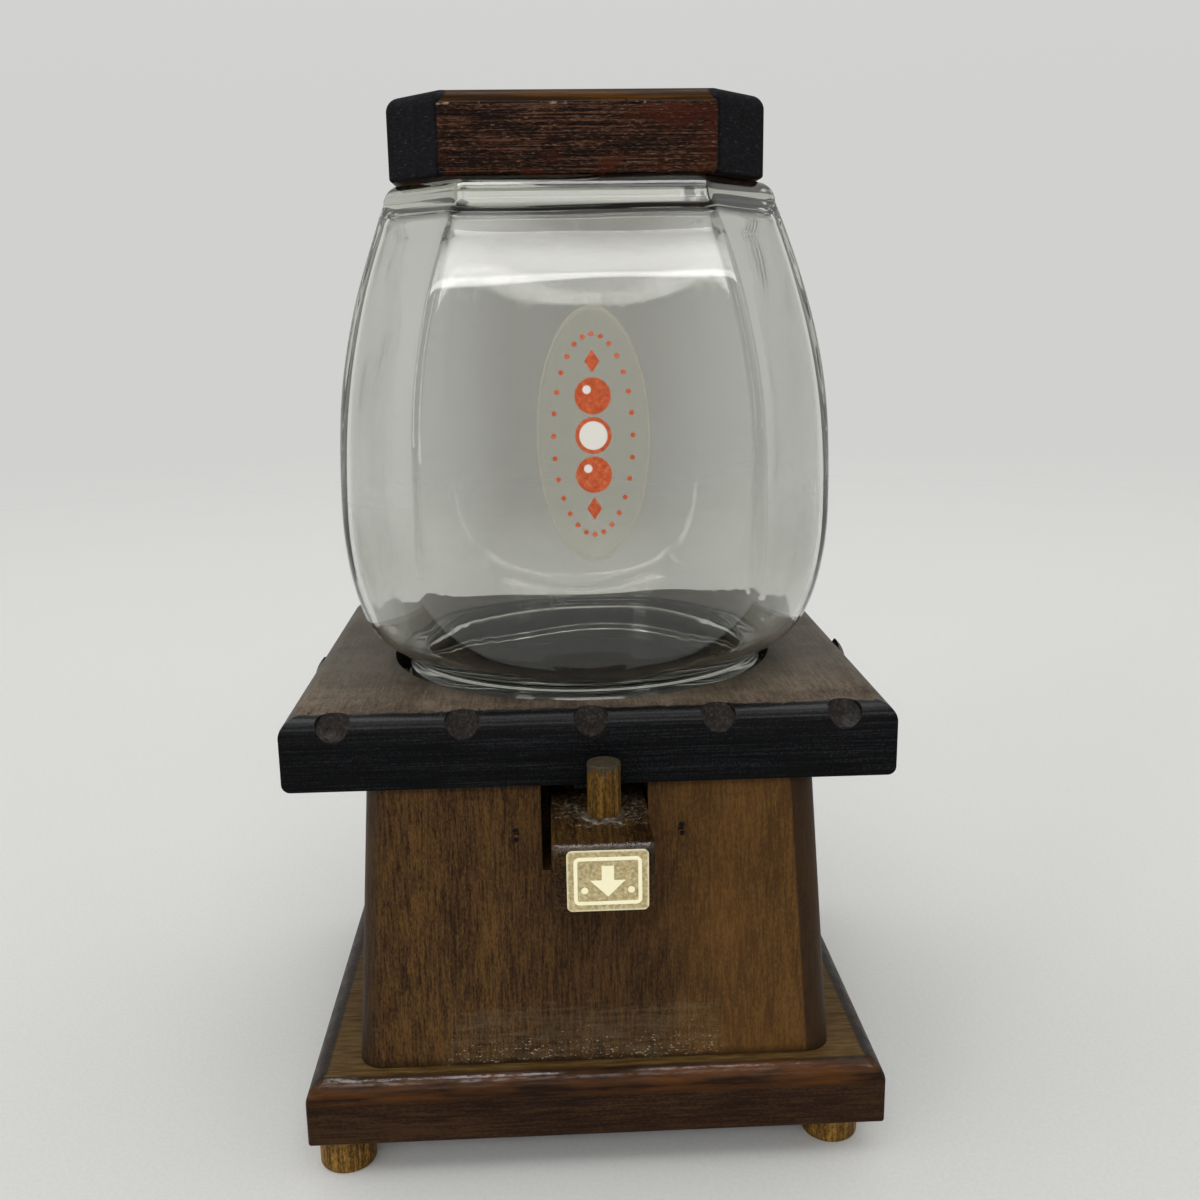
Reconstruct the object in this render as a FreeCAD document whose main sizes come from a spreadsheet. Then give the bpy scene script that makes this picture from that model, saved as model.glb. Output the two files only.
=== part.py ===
import FreeCAD
import Part
import Sketcher
import math
import os
import re

# Driving dimensions in millimetres
# The floor is z = 0, the front is towards -y, and the whole is centred on the origin.
# The jar's axis stands axis_setback behind the origin, and the boards are centred on that axis.

SIZES = {
    # Whole
    "axis_setback": 8.0,
    "fit_gap": 0.05,
    "edge_ease": 0.8,
    # Base board and its dowel feet
    "base_width": 153.5,
    "base_depth": 150.2,
    "base_thickness": 17.8,
    "base_roundover": 5.6,
    "foot_diameter": 15.1,
    "foot_height": 11.4,
    "foot_socket_depth": 6.0,
    "foot_left_inset_side": 8.4,
    "foot_left_inset_front": 11.1,
    "foot_right_inset_side": 11.4,
    "foot_right_inset_front": 15.0,
    # Cabinet of four leaning boards
    "cabinet_height": 78.1,
    "cabinet_width_bottom": 127.2,
    "cabinet_width_top": 117.0,
    "cabinet_depth_bottom": 136.2,
    "cabinet_depth_top": 127.0,
    "panel_thickness": 19.0,
    "corner_round": 7.0,
    # Top board
    "top_width": 157.0,
    "top_depth": 133.4,
    "top_thickness": 19.05,
    "top_roundover": 4.8,
    "top_under_round": 2.2,
    "recess_diameter": 112.0,
    "recess_depth": 12.5,
    "spot_diameter": 8.8,
    "spot_depth": 2.0,
    "spot_tip_depth": 1.6,
    "spot_spacing": 32.5,
    # Slide bar, its peg, plate and stop pin
    "slider_width": 24.9,
    "slider_height": 17.8,
    "slider_overhang": 24.0,
    "slider_shift": 1.65,
    "slider_ease": 2.2,
    "ball_gap": 6.25,
    "slide_gap": 0.4,
    "under_gap": 0.1,
    "tail_gap": 2.0,
    "tail_cover": 0.5,
    "drop_setback": 24.0,
    "drop_hole_diameter": 24.0,
    "pocket_diameter": 20.0,
    "pocket_depth": 14.0,
    "peg_diameter": 8.5,
    "peg_height": 13.9,
    "peg_socket_depth": 8.0,
    "peg_shift": 1.15,
    "peg_gap": 0.3,
    "peg_ease": 0.4,
    "plate_width": 19.7,
    "plate_height": 15.6,
    "plate_thickness": 0.4,
    "plate_corner": 1.2,
    "plate_shift": 0.9,
    "plate_margin_top": 1.1,
    "plate_frame": 2.4,
    "plate_relief": 0.15,
    "stop_pin_diameter": 4.0,
    "stop_pin_socket": 8.0,
    "stop_pin_reach": 5.0,
    "stop_pin_inset": 8.0,
    "stop_gap": 0.3,
    # Slot, rails, keepers and floor of the slide
    "slot_width": 27.7,
    "slot_shift": 0.65,
    "rail_width": 17.2,
    "keeper_overlap": 2.0,
    "keeper_gap": 0.3,
    "slide_floor_thickness": 6.0,
    # Eight-sided jar, standing on its mouth
    "jar_shift": 0.85,
    "jar_height": 143.4,
    "jar_belly": 60.7,
    "jar_half": 64.8,
    "jar_corner_half": 77.15,
    "jar_upper_arc": 218.0,
    "jar_lower_arc": 147.0,
    "jar_corner_arc": 163.5,
    "jar_wall": 3.5,
    "jar_base": 8.0,
    "jar_heel": 4.0,
    "jar_inner_heel": 9.0,
    "jar_facet_clear": 1.5,
    "neck_diameter": 105.0,
    "neck_fillet": 2.0,
    "neck_bead": 1.3,
    "neck_bead_level": 5.0,
    "shoulder_arc": 57.0,
    "shoulder_trim": 1.2,
    # Cap on the jar's closed end, and the film on its front
    "cap_width": 94.8,
    "cap_corner": 13.0,
    "cap_thickness": 20.1,
    "cap_roundover": 3.6,
    "decal_width": 27.4,
    "decal_height": 61.6,
    "decal_level": 81.7,
    "decal_shift": 1.0,
    "decal_thickness": 0.2,
    # Fasteners
    "jar_screw_left_level": 9.8,
    "jar_screw_right_level": 11.3,
    "jar_screw_shift": 2.0,
    "jar_screw_diameter": 5.0,
    "jar_screw_head": 13.5,
    "jar_screw_head_height": 2.8,
    "jar_screw_slot_width": 1.3,
    "jar_screw_slot_depth": 1.2,
    "jar_screw_tip_gap": 0.3,
    "wood_screw_diameter": 4.0,
    "wood_screw_head": 8.0,
    "wood_screw_head_height": 2.6,
    "base_screw_length": 38.0,
    "base_screw_spacing": 60.0,
    "top_screw_length": 25.0,
    "top_screw_spacing": 24.0,
    "brad_diameter": 1.6,
    "brad_length": 38.0,
    "brad_sink": 0.4,
    "brad_rise": 9.9,
}
SPOTS = 5

# How far two places may differ and still count as one
TOUCH = 1e-6

# Directions of a turned piece: the axis and angle that swing it from upright
UP = ((0, 0, 1), 0)
LEFT = ((0, 1, 0), -90)
RIGHT = ((0, 1, 0), 90)
BACK = ((1, 0, 0), -90)
FRONT = ((1, 0, 0), 90)
DOWN = ((1, 0, 0), 180)
FRONT_UP = ((1, 0, 0), 45)

doc = FreeCAD.newDocument("GumballMachine")
sheet = doc.addObject("Spreadsheet::Sheet", "sizes")
for row, (alias, number) in enumerate(SIZES.items(), start=1):
    sheet.set(f"A{row}", alias)
    sheet.set(f"B{row}", str(number))
    sheet.setAlias(f"B{row}", alias)
doc.recompute()

pieces = {}


# Small helpers

def cells(text):
    """The expression with every size pointed at its cell."""
    def point(word):
        name = word.group()
        return f"sizes.{name}" if name in SIZES else name
    return re.sub(r"[a-z_]+", point, str(text))


def value(text):
    """The number that an expression gives now."""
    return float(sheet.evalExpression(cells(text)))


def bind(thing, **expressions):
    for prop, text in expressions.items():
        thing.setExpression(prop, cells(text))
    return thing


def place(thing, x, y, z, direction=UP):
    axis, angle = direction
    thing.Placement = FreeCAD.Placement(FreeCAD.Vector(), FreeCAD.Rotation(FreeCAD.Vector(*axis), angle))
    for letter, text in zip("xyz", (x, y, z)):
        thing.setExpression(f".Placement.Base.{letter}", cells(text))
    return thing


def box(name, size, corner):
    block = bind(doc.addObject("Part::Box", name), Length=size[0], Width=size[1], Height=size[2])
    return place(block, *corner)


def rod(name, diameter, length, start, direction=UP):
    stick = bind(doc.addObject("Part::Cylinder", name), Radius=f"({diameter}) / 2", Height=length)
    return place(stick, *start, direction)


def cone(name, start_diameter, end_diameter, length, start, direction=UP):
    tip = doc.addObject("Part::Cone", name)
    bind(tip, Radius1=f"({start_diameter}) / 2", Radius2=f"({end_diameter}) / 2", Height=length)
    return place(tip, *start, direction)


def leaning_block(name, low, high, x_low, x_high, y_low, y_high):
    """Block between two levels, with an x and a y span of its own at each."""
    block = doc.addObject("Part::Wedge", name)
    axis, angle = FRONT
    block.Placement = FreeCAD.Placement(FreeCAD.Vector(), FreeCAD.Rotation(FreeCAD.Vector(*axis), angle))
    return bind(
        block,
        Ymin=low,
        Ymax=high,
        Xmin=x_low[0],
        Xmax=x_low[1],
        X2min=x_high[0],
        X2max=x_high[1],
        Zmin=f"-({y_low[1]})",
        Zmax=f"-({y_low[0]})",
        Z2min=f"-({y_high[1]})",
        Z2max=f"-({y_high[0]})",
    )


def fuse(name, *shapes):
    whole = doc.addObject("Part::MultiFuse", name)
    whole.Shapes = list(shapes)
    return whole


def common(name, *shapes):
    shared = doc.addObject("Part::MultiCommon", name)
    shared.Shapes = list(shapes)
    return shared


def group(name, *shapes):
    loose = doc.addObject("Part::Compound", name)
    loose.Links = list(shapes)
    return loose


def cut(name, base, *tools):
    rest = doc.addObject("Part::Cut", name)
    rest.Base = base
    rest.Tool = tools[0] if len(tools) == 1 else fuse(f"{name}_cuts", *tools)
    return rest


def dress_edges(kind, name, base, size_of):
    """Fillet or chamfer of each edge for which size_of gives a size."""
    doc.recompute()
    edges = []
    for number, edge in enumerate(base.Shape.Edges, start=1):
        amount = size_of(edge)
        if amount:
            edges.append((number, amount, amount))
    dressed = doc.addObject(kind, name)
    dressed.Base = base
    dressed.Edges = edges
    return dressed


def round_edges(name, base, size_of):
    return dress_edges("Part::Fillet", name, base, size_of)


def bevel_edges(name, base, size_of):
    return dress_edges("Part::Chamfer", name, base, size_of)


def round_board(name, base, top_radius, rest_radius):
    """Board with its upper edges rounded by one size and all others by another."""
    doc.recompute()
    top = base.Shape.BoundBox.ZMax - TOUCH

    def size_of(edge):
        return value(top_radius) if edge.BoundBox.ZMin > top else value(rest_radius)
    return round_edges(name, base, size_of)


def upright_edge(edge):
    return edge.BoundBox.ZLength > max(edge.BoundBox.XLength, edge.BoundBox.YLength)


def keep(label, thing):
    thing.Label = label
    pieces[label] = thing


# Levels and planes, as expressions

base_top = "(foot_height + base_thickness)"
top_under = f"({base_top} + cabinet_height)"
top_face = f"({top_under} + top_thickness)"
recess_floor = f"({top_face} - recess_depth)"
top_front = "(axis_setback - top_depth / 2)"

front_low = "(axis_setback - cabinet_depth_bottom / 2)"
front_high = "(axis_setback - cabinet_depth_top / 2)"
back_low = "(axis_setback + cabinet_depth_bottom / 2)"
back_high = "(axis_setback + cabinet_depth_top / 2)"
depth_lean = "((cabinet_depth_bottom - cabinet_depth_top) / 2 / cabinet_height)"
half_low = "(cabinet_width_bottom / 2)"
half_high = "(cabinet_width_top / 2)"

slot_floor = f"({top_under} - ball_gap - slider_height - under_gap)"
slider_under = f"({slot_floor} + under_gap)"
slider_top = f"({top_under} - ball_gap)"
slider_front = f"({top_front} - slider_overhang)"
slider_tail = f"({back_high} - panel_thickness - tail_gap)"
drop_line = "(axis_setback - drop_setback)"
pull_travel = f"({slider_tail} - {drop_line} - drop_hole_diameter / 2 - tail_cover)"
stop_line = f"({slider_tail} - stop_pin_inset)"
rail_inner = "(slider_width / 2 + slide_gap)"
rail_middle = f"({rail_inner} + rail_width / 2)"
brad_level = f"({slot_floor} + brad_rise)"
side_middle_low = f"({half_low} - panel_thickness / 2)"
side_middle_high = f"({half_high} - panel_thickness / 2)"
screw_line = "(axis_setback + jar_screw_shift)"
bead_radius = "(neck_diameter / 2 + neck_bead)"


def screw_level(hand):
    """Level of the jar screw on one side."""
    return f"({top_under} + jar_screw_{hand}_level)"


def front_face(level):
    """y of the front board's outer face at a level."""
    return f"({front_low} + {depth_lean} * ({level} - {base_top}))"


def front_inside(level):
    return f"({front_face(level)} + panel_thickness)"


def back_inside(level):
    return f"({back_low} - {depth_lean} * ({level} - {base_top}) - panel_thickness)"


# Fasteners, and the holes that take them

def wood_screw(name, x, y, z, length, direction, gap="0"):
    """Flat-head screw with its head's face at x, y, z, pointing the given way."""
    head = cone(f"{name}_head", f"wood_screw_head + 2 * {gap}", f"wood_screw_diameter + 2 * {gap}",
                f"wood_screw_head_height + {gap}", (x, y, z), direction)
    shank = rod(f"{name}_shank", f"wood_screw_diameter + 2 * {gap}", f"{length} + {gap}", (x, y, z), direction)
    return fuse(name, head, shank)


def screw_places(middle, spacing):
    """Four places: two over each side board, evenly before and behind the jar's axis."""
    return [(f"{side} * {middle}", f"axis_setback + {end} * {spacing} / 2") for side in (-1, 1) for end in (-1, 1)]


def base_screw_set(name, gap="0"):
    places = screw_places(side_middle_low, "base_screw_spacing")
    return [wood_screw(f"{name}_{i}", x, y, "foot_height", "base_screw_length", UP, gap)
            for i, (x, y) in enumerate(places)]


def top_screw_set(name, gap="0"):
    places = screw_places(side_middle_high, "top_screw_spacing")
    return [wood_screw(f"{name}_{i}", x, y, recess_floor, "top_screw_length", DOWN, gap)
            for i, (x, y) in enumerate(places)]


def brad_set(name, sink, gap="0"):
    """Two nails through the front board and two through the back board, into the rails' ends."""
    nails = []
    for side in (-1, 1):
        x = f"slider_shift + {side} * {rail_middle}"
        front = f"{front_face(brad_level)} + {sink}"
        back = f"2 * axis_setback - ({front})"
        thick = f"brad_diameter + 2 * {gap}"
        length = f"brad_length + {gap} + brad_sink - {sink}"
        nails.append(rod(f"{name}_front_{side + 1}", thick, length, (x, front, brad_level), BACK))
        nails.append(rod(f"{name}_back_{side + 1}", thick, length, (x, back, brad_level), FRONT))
    return nails


# Base board and feet

FEET = {
    "foot_front_left": (-1, -1),
    "foot_front_right": (1, -1),
    "foot_rear_left": (-1, 1),
    "foot_rear_right": (1, 1),
}


def foot_place(side, end):
    hand = "left" if side < 0 else "right"
    x = f"{side} * (base_width / 2 - foot_{hand}_inset_side)"
    y = f"axis_setback + {end} * (base_depth / 2 - foot_{hand}_inset_front)"
    return x, y


def make_feet():
    for label, (side, end) in FEET.items():
        blank = rod(f"{label}_dowel", "foot_diameter", "foot_height + foot_socket_depth",
                    (*foot_place(side, end), "0"))
        keep(label, round_edges(label, blank, lambda edge: value("edge_ease") if edge.BoundBox.ZMax < TOUCH else 0))


def make_base_board():
    blank = box("base_blank", ("base_width", "base_depth", "base_thickness"),
                ("-base_width / 2", "axis_setback - base_depth / 2", "foot_height"))
    rounded = round_board("base_rounded", blank, "base_roundover", "edge_ease")
    sockets = [rod(f"{label}_socket", "foot_diameter + 2 * fit_gap", "foot_socket_depth",
                   (*foot_place(side, end), "foot_height")) for label, (side, end) in FEET.items()]
    keep("base_board", cut("base_board", rounded, *sockets, *base_screw_set("base_hole", "fit_gap")))


# Cabinet boards

def make_front_panel():
    blank = leaning_block("front_blank", base_top, top_under, (f"-{half_low}", half_low), (f"-{half_high}", half_high),
                          (front_low, f"{front_low} + panel_thickness"),
                          (front_high, f"{front_high} + panel_thickness"))
    doc.recompute()
    middle = value(front_face(base_top)) + value("panel_thickness") / 2

    rounded = round_edges("front_rounded", blank, lambda edge: value("corner_round")
                          if upright_edge(edge) and edge.CenterOfMass.y < middle else 0)
    slot = box("front_slot", ("slot_width", "cabinet_depth_bottom / 2", "cabinet_height"),
               ("slot_shift - slot_width / 2", front_low, slot_floor))
    holes = brad_set("front_brad_hole", "0", "fit_gap")
    keep("front_panel", cut("front_panel", rounded, slot, *holes))


def make_back_panel():
    blank = leaning_block("back_blank", base_top, top_under, (f"-{half_low}", half_low), (f"-{half_high}", half_high),
                          (f"{back_low} - panel_thickness", back_low), (f"{back_high} - panel_thickness", back_high))
    doc.recompute()
    middle = value(back_low) - value("panel_thickness") / 2
    rounded = round_edges("back_rounded", blank, lambda edge: value("corner_round")
                          if upright_edge(edge) and edge.CenterOfMass.y > middle - value("panel_thickness") / 2
                          and edge.BoundBox.YMax > middle else 0)
    keep("back_panel", cut("back_panel", rounded, *brad_set("back_brad_hole", "0", "fit_gap")))


def make_side_panels():
    for label, side in (("side_panel_left", -1), ("side_panel_right", 1)):
        spans = []
        for half in (half_low, half_high):
            inner, outer = f"({half} - panel_thickness)", half
            spans.append((f"-{outer}", f"-{inner}") if side < 0 else (inner, outer))
        blank = leaning_block(f"{label}_blank", base_top, top_under, *spans,
                              (front_inside(base_top), back_inside(base_top)),
                              (front_inside(top_under), back_inside(top_under)))
        holes = base_screw_set(f"{label}_low_hole", "fit_gap") + top_screw_set(f"{label}_high_hole", "fit_gap")
        keep(label, cut(label, blank, *holes))


# Top board

def make_top_board():
    blank = box("top_blank", ("top_width", "top_depth", "top_thickness"), ("-top_width / 2", top_front, top_under))
    ends_rounded = round_edges("top_ends_rounded", blank, lambda edge: value("top_under_round")
                               if edge.BoundBox.YLength > TOUCH and edge.CenterOfMass.z < value(top_face) - TOUCH else 0)
    rounded = round_edges("top_rounded", ends_rounded, lambda edge: value("top_roundover")
                          if edge.BoundBox.ZMin > value(top_face) - TOUCH else 0)
    recess = rod("recess", "recess_diameter", "recess_depth", ("0", "axis_setback", recess_floor))
    drop_hole = rod("drop_hole", "drop_hole_diameter", "top_thickness", ("slider_shift", drop_line, top_under))
    screw_holes = [rod(f"jar_screw_hole_{hand}", "jar_screw_diameter + 2 * fit_gap", "top_width / 2",
                       (f"{side} * top_width / 2", screw_line, screw_level(hand)), direction)
                   for hand, side, direction in (("left", -1, RIGHT), ("right", 1, LEFT))]
    keep("top_board", cut("top_board", rounded, recess, drop_hole, *screw_holes, *edge_spots(),
                          *top_screw_set("top_hole", "fit_gap")))


def edge_spots():
    """Drilled spots along the front edge: the drill points into the middle of the rounded edge."""
    crest = "top_roundover * (1 - sqrt(0.5))"
    drills = []
    for number in range(SPOTS):
        x = f"{number - (SPOTS - 1) / 2} * spot_spacing"

        def along(depth):
            return (x, f"{top_front} + {crest} + ({depth}) * sqrt(0.5)", f"{top_face} - {crest} - ({depth}) * sqrt(0.5)")
        drills.append(rod(f"spot_{number}", "spot_diameter", "spot_diameter", along("spot_depth"), FRONT_UP))
        drills.append(cone(f"spot_tip_{number}", "0", "spot_diameter", "spot_tip_depth",
                           along("spot_depth + spot_tip_depth"), FRONT_UP))
    return drills


# Slide

def make_rails():
    for label, side in (("guide_rail_left", -1), ("guide_rail_right", 1)):
        near = f"slider_shift + {side} * {rail_inner}"
        far = f"slider_shift + {side} * ({rail_inner} + rail_width)"
        span = (far, near) if side < 0 else (near, far)
        blank = leaning_block(f"{label}_blank", slot_floor, top_under, span, span,
                              (front_inside(slot_floor), back_inside(slot_floor)),
                              (front_inside(top_under), back_inside(top_under)))
        keep(label, cut(label, blank, *brad_set(f"{label}_hole", "0", "fit_gap")))


def make_keepers():
    for label, side in (("keeper_left", -1), ("keeper_right", 1)):
        edge = f"slider_shift + {side} * {rail_inner}"
        corner = edge if side < 0 else f"{edge} - keeper_overlap - slide_gap"
        length = f"{back_inside(top_under)} - {front_inside(top_under)}"
        keep(label, box(label, ("keeper_overlap + slide_gap", length, "ball_gap - keeper_gap"),
                        (corner, front_inside(top_under), f"{slider_top} + keeper_gap")))


def make_slide_floor():
    half = f"({rail_inner} + rail_width)"
    blank = box("slide_floor_blank",
                (f"2 * {half}", f"{back_inside(slot_floor)} - {front_inside(slot_floor)}", "slide_floor_thickness"),
                (f"slider_shift - {half}", front_inside(slot_floor), f"{slot_floor} - slide_floor_thickness"))
    width = "(stop_pin_diameter + 2 * stop_gap)"
    front_end = f"{stop_line} - {pull_travel}"
    groove = box("stop_groove", (width, pull_travel, "slide_floor_thickness"),
                 (f"slider_shift - {width} / 2", front_end, f"{slot_floor} - slide_floor_thickness"))
    ends = [rod(f"stop_groove_end_{name}", width, "slide_floor_thickness",
                ("slider_shift", y, f"{slot_floor} - slide_floor_thickness"))
            for name, y in (("front", front_end), ("back", stop_line))]
    keep("slide_floor", cut("slide_floor", blank, groove, *ends))


def peg_place():
    return "slider_shift + peg_shift", f"{top_front} - peg_gap - peg_diameter / 2"


def make_slider_bar():
    blank = box("slider_blank", ("slider_width", f"{slider_tail} - {slider_front}", "slider_height"),
                ("slider_shift - slider_width / 2", slider_front, slider_under))
    doc.recompute()
    front = blank.Shape.BoundBox.YMin + TOUCH
    top = blank.Shape.BoundBox.ZMax - TOUCH

    def size_of(edge):
        if edge.BoundBox.YMax < front:
            return value("slider_ease")
        return value("edge_ease") if edge.BoundBox.ZMin > top else 0
    rounded = round_edges("slider_rounded", blank, size_of)
    pocket = rod("ball_pocket", "pocket_diameter", "pocket_depth",
                 ("slider_shift", drop_line, f"{slider_top} - pocket_depth"))
    peg_socket = rod("peg_socket", "peg_diameter + 2 * fit_gap", "peg_socket_depth",
                     (*peg_place(), f"{slider_top} - peg_socket_depth"))
    pin_socket = rod("stop_pin_hole", "stop_pin_diameter + 2 * fit_gap", "stop_pin_socket",
                     ("slider_shift", stop_line, slider_under))
    keep("slider_bar", cut("slider_bar", rounded, pocket, peg_socket, pin_socket))


def make_pull_peg():
    blank = rod("peg_dowel", "peg_diameter", "peg_height + peg_socket_depth",
                (*peg_place(), f"{slider_top} - peg_socket_depth"))
    doc.recompute()
    top = blank.Shape.BoundBox.ZMax - TOUCH
    keep("pull_peg", round_edges("pull_peg", blank, lambda edge: value("peg_ease") if edge.BoundBox.ZMin > top else 0))


def make_pull_plate():
    left = "(slider_shift + plate_shift - plate_width / 2)"
    low = f"({slider_top} - plate_margin_top - plate_height)"
    blank = box("plate_blank", ("plate_width", "plate_thickness", "plate_height"),
                (left, f"{slider_front} - plate_thickness", low))
    rounded = round_edges("plate_rounded", blank, lambda edge: value("plate_corner")
                          if edge.BoundBox.YLength > max(edge.BoundBox.XLength, edge.BoundBox.ZLength) else 0)
    field = box("plate_field", ("plate_width - 2 * plate_frame", "plate_relief", "plate_height - 2 * plate_frame"),
                (f"{left} + plate_frame", f"{slider_front} - plate_thickness", f"{low} + plate_frame"))
    keep("pull_plate", cut("pull_plate", rounded, field))


def make_stop_pin():
    keep("stop_pin", rod("stop_pin", "stop_pin_diameter", "stop_pin_socket + stop_pin_reach",
                         ("slider_shift", stop_line, f"{slider_under} - stop_pin_reach")))


# Jar: flat and corner facets, each curved up its height, met by a turned shoulder and neck

def upright_sketch(name, turn):
    """Sketch in an upright plane through the jar's axis, with its origin in the jar's mouth."""
    sketch = doc.addObject("Sketcher::SketchObject", name)
    swing = FreeCAD.Rotation(FreeCAD.Vector(0, 0, 1), turn)
    upright = FreeCAD.Rotation(FreeCAD.Vector(1, 0, 0), 90)
    sketch.Placement = FreeCAD.Placement(FreeCAD.Vector(), swing.multiply(upright))
    for letter, text in zip("xyz", ("jar_shift", "axis_setback", recess_floor)):
        sketch.setExpression(f".Placement.Base.{letter}", cells(text))
    return sketch


def line(start, end):
    return Part.LineSegment(FreeCAD.Vector(*start, 0), FreeCAD.Vector(*end, 0))


def arc(centre, radius, start_angle, end_angle):
    circle = Part.Circle(FreeCAD.Vector(*centre, 0), FreeCAD.Vector(0, 0, 1), radius)
    return Part.ArcOfCircle(circle, start_angle, end_angle)


def constrain(sketch, plain, measured):
    """Constraints between the outline's pieces, then those that a size drives."""
    for words in plain:
        sketch.addConstraint(Sketcher.Constraint(*words))
    for name, (text, words) in measured.items():
        number = sketch.addConstraint(Sketcher.Constraint(*words, value(text)))
        sketch.renameConstraint(number, name)
        sketch.setExpression(f"Constraints.{name}", cells(text))


ORIGIN = (-1, 1)
START, END, CENTRE = range(1, 4)
SIDEWAYS_AXIS = -1


def facet_block(name, turn, half, upper, top, heel, foot=None, lower=None):
    """Everything inside one facet: upright or arched below the belly, arched above, rounded at the heel."""
    far = value("2 * jar_corner_half")
    belly = value("jar_belly")
    x_half, z_top, r_upper, r_heel = value(half), value(top), value(upper), value(heel)
    x_foot = value(foot) if foot else x_half
    upper_centre = (x_half - r_upper, belly)
    heel_level = z_top - r_heel
    heel_centre = (upper_centre[0] + math.sqrt((r_upper - r_heel) ** 2 - (heel_level - belly) ** 2), heel_level)
    heel_angle = math.atan2(heel_level - belly, heel_centre[0] - upper_centre[0])
    outline = [line((-far, 0), (x_foot, 0))]
    if lower:
        r_lower = value(lower)
        lower_centre = (x_half - r_lower, belly)
        lower_angle = math.acos((x_foot - lower_centre[0]) / r_lower)
        outline.append(line((x_foot, 0), (x_foot, belly - r_lower * math.sin(lower_angle))))
        outline.append(arc(lower_centre, r_lower, -lower_angle, 0))
    else:
        outline.append(line((x_foot, 0), (x_foot, belly)))
    below = len(outline) - 1
    above, round_heel, roof, rear = range(below + 1, below + 5)
    outline.append(arc(upper_centre, r_upper, 0, heel_angle))
    outline.append(arc(heel_centre, r_heel, heel_angle, math.pi / 2))
    outline.append(line((heel_centre[0], z_top), (-far, z_top)))
    outline.append(line((-far, z_top), (-far, 0)))
    sketch = upright_sketch(f"{name}_outline", turn)
    sketch.addGeometry(outline, False)
    plain = [
        ("PointOnObject", 0, START, SIDEWAYS_AXIS),
        ("Horizontal", 0),
        ("Vertical", 1),
        ("Horizontal", roof),
        ("Vertical", rear),
        ("Coincident", 0, END, 1, START),
        ("Tangent", below, END, above, START),
        ("Tangent", above, END, round_heel, START),
        ("Tangent", round_heel, END, roof, START),
        ("Coincident", roof, END, rear, START),
        ("Coincident", rear, END, 0, START),
    ]
    measured = {
        "half": (half, ("DistanceX", *ORIGIN, above, START)),
        "belly": ("jar_belly", ("DistanceY", *ORIGIN, above, START)),
        "top": (top, ("DistanceY", *ORIGIN, roof, START)),
        "far": ("2 * jar_corner_half", ("DistanceX", rear, END, *ORIGIN)),
        "upper": (upper, ("Radius", above)),
        "heel": (heel, ("Radius", round_heel)),
    }
    if lower:
        plain.append(("Coincident", 1, END, below, START))
        plain.append(("Horizontal", below, CENTRE, below, END))
        measured["foot"] = (foot, ("DistanceX", *ORIGIN, 1, START))
        measured["lower"] = (lower, ("Radius", below))
    constrain(sketch, plain, measured)
    block = doc.addObject("Part::Extrusion", name)
    block.Base = sketch
    block.DirMode = "Normal"
    block.Symmetric = True
    block.Solid = True
    return bind(block, LengthFwd="4 * jar_corner_half")


def turned_block(name, neck, fillet, shoulder, reach, top):
    """Neck, hollow fillet and round shoulder, turned about the jar's axis."""
    r_neck, r_fillet, r_shoulder = value(neck), value(fillet), value(shoulder)
    r_reach, z_top, belly = value(reach), value(top), value("jar_belly")
    shoulder_centre = (r_reach - r_shoulder, belly)
    across = r_neck + r_fillet - shoulder_centre[0]
    drop = math.sqrt((r_shoulder + r_fillet) ** 2 - across ** 2)
    fillet_centre = (r_neck + r_fillet, belly - drop)
    angle = math.atan2(drop, -across)
    outline = [
        line((0, 0), (r_neck, 0)),
        line((r_neck, 0), (r_neck, fillet_centre[1])),
        arc(fillet_centre, r_fillet, angle, math.pi),
        arc(shoulder_centre, r_shoulder, angle - math.pi, 0),
        line((r_reach, belly), (r_reach, z_top)),
        line((r_reach, z_top), (0, z_top)),
        line((0, z_top), (0, 0)),
    ]
    sketch = upright_sketch(f"{name}_outline", 0)
    sketch.addGeometry(outline, False)
    plain = [
        ("Coincident", 0, START, *ORIGIN),
        ("Horizontal", 0),
        ("Coincident", 0, END, 1, START),
        ("Vertical", 1),
        ("Tangent", 1, END, 2, END),
        ("Tangent", 2, START, 3, START),
        ("Tangent", 3, END, 4, START),
        ("Vertical", 4),
        ("Coincident", 4, END, 5, START),
        ("Horizontal", 5),
        ("Coincident", 5, END, 6, START),
        ("Coincident", 6, END, 0, START),
        ("Vertical", 6),
    ]
    measured = {
        "neck": (neck, ("DistanceX", *ORIGIN, 1, START)),
        "fillet": (fillet, ("Radius", 2)),
        "shoulder": (shoulder, ("Radius", 3)),
        "reach": (reach, ("DistanceX", *ORIGIN, 4, START)),
        "belly": ("jar_belly", ("DistanceY", *ORIGIN, 4, START)),
        "top": (top, ("DistanceY", *ORIGIN, 4, END)),
    }
    constrain(sketch, plain, measured)
    solid = doc.addObject("Part::Revolution", name)
    solid.Source = sketch
    solid.Axis = FreeCAD.Vector(0, 0, 1)
    solid.Angle = 360
    solid.Solid = True
    return bind(solid, **{"Base.x": "jar_shift", "Base.y": "axis_setback"})


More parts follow.
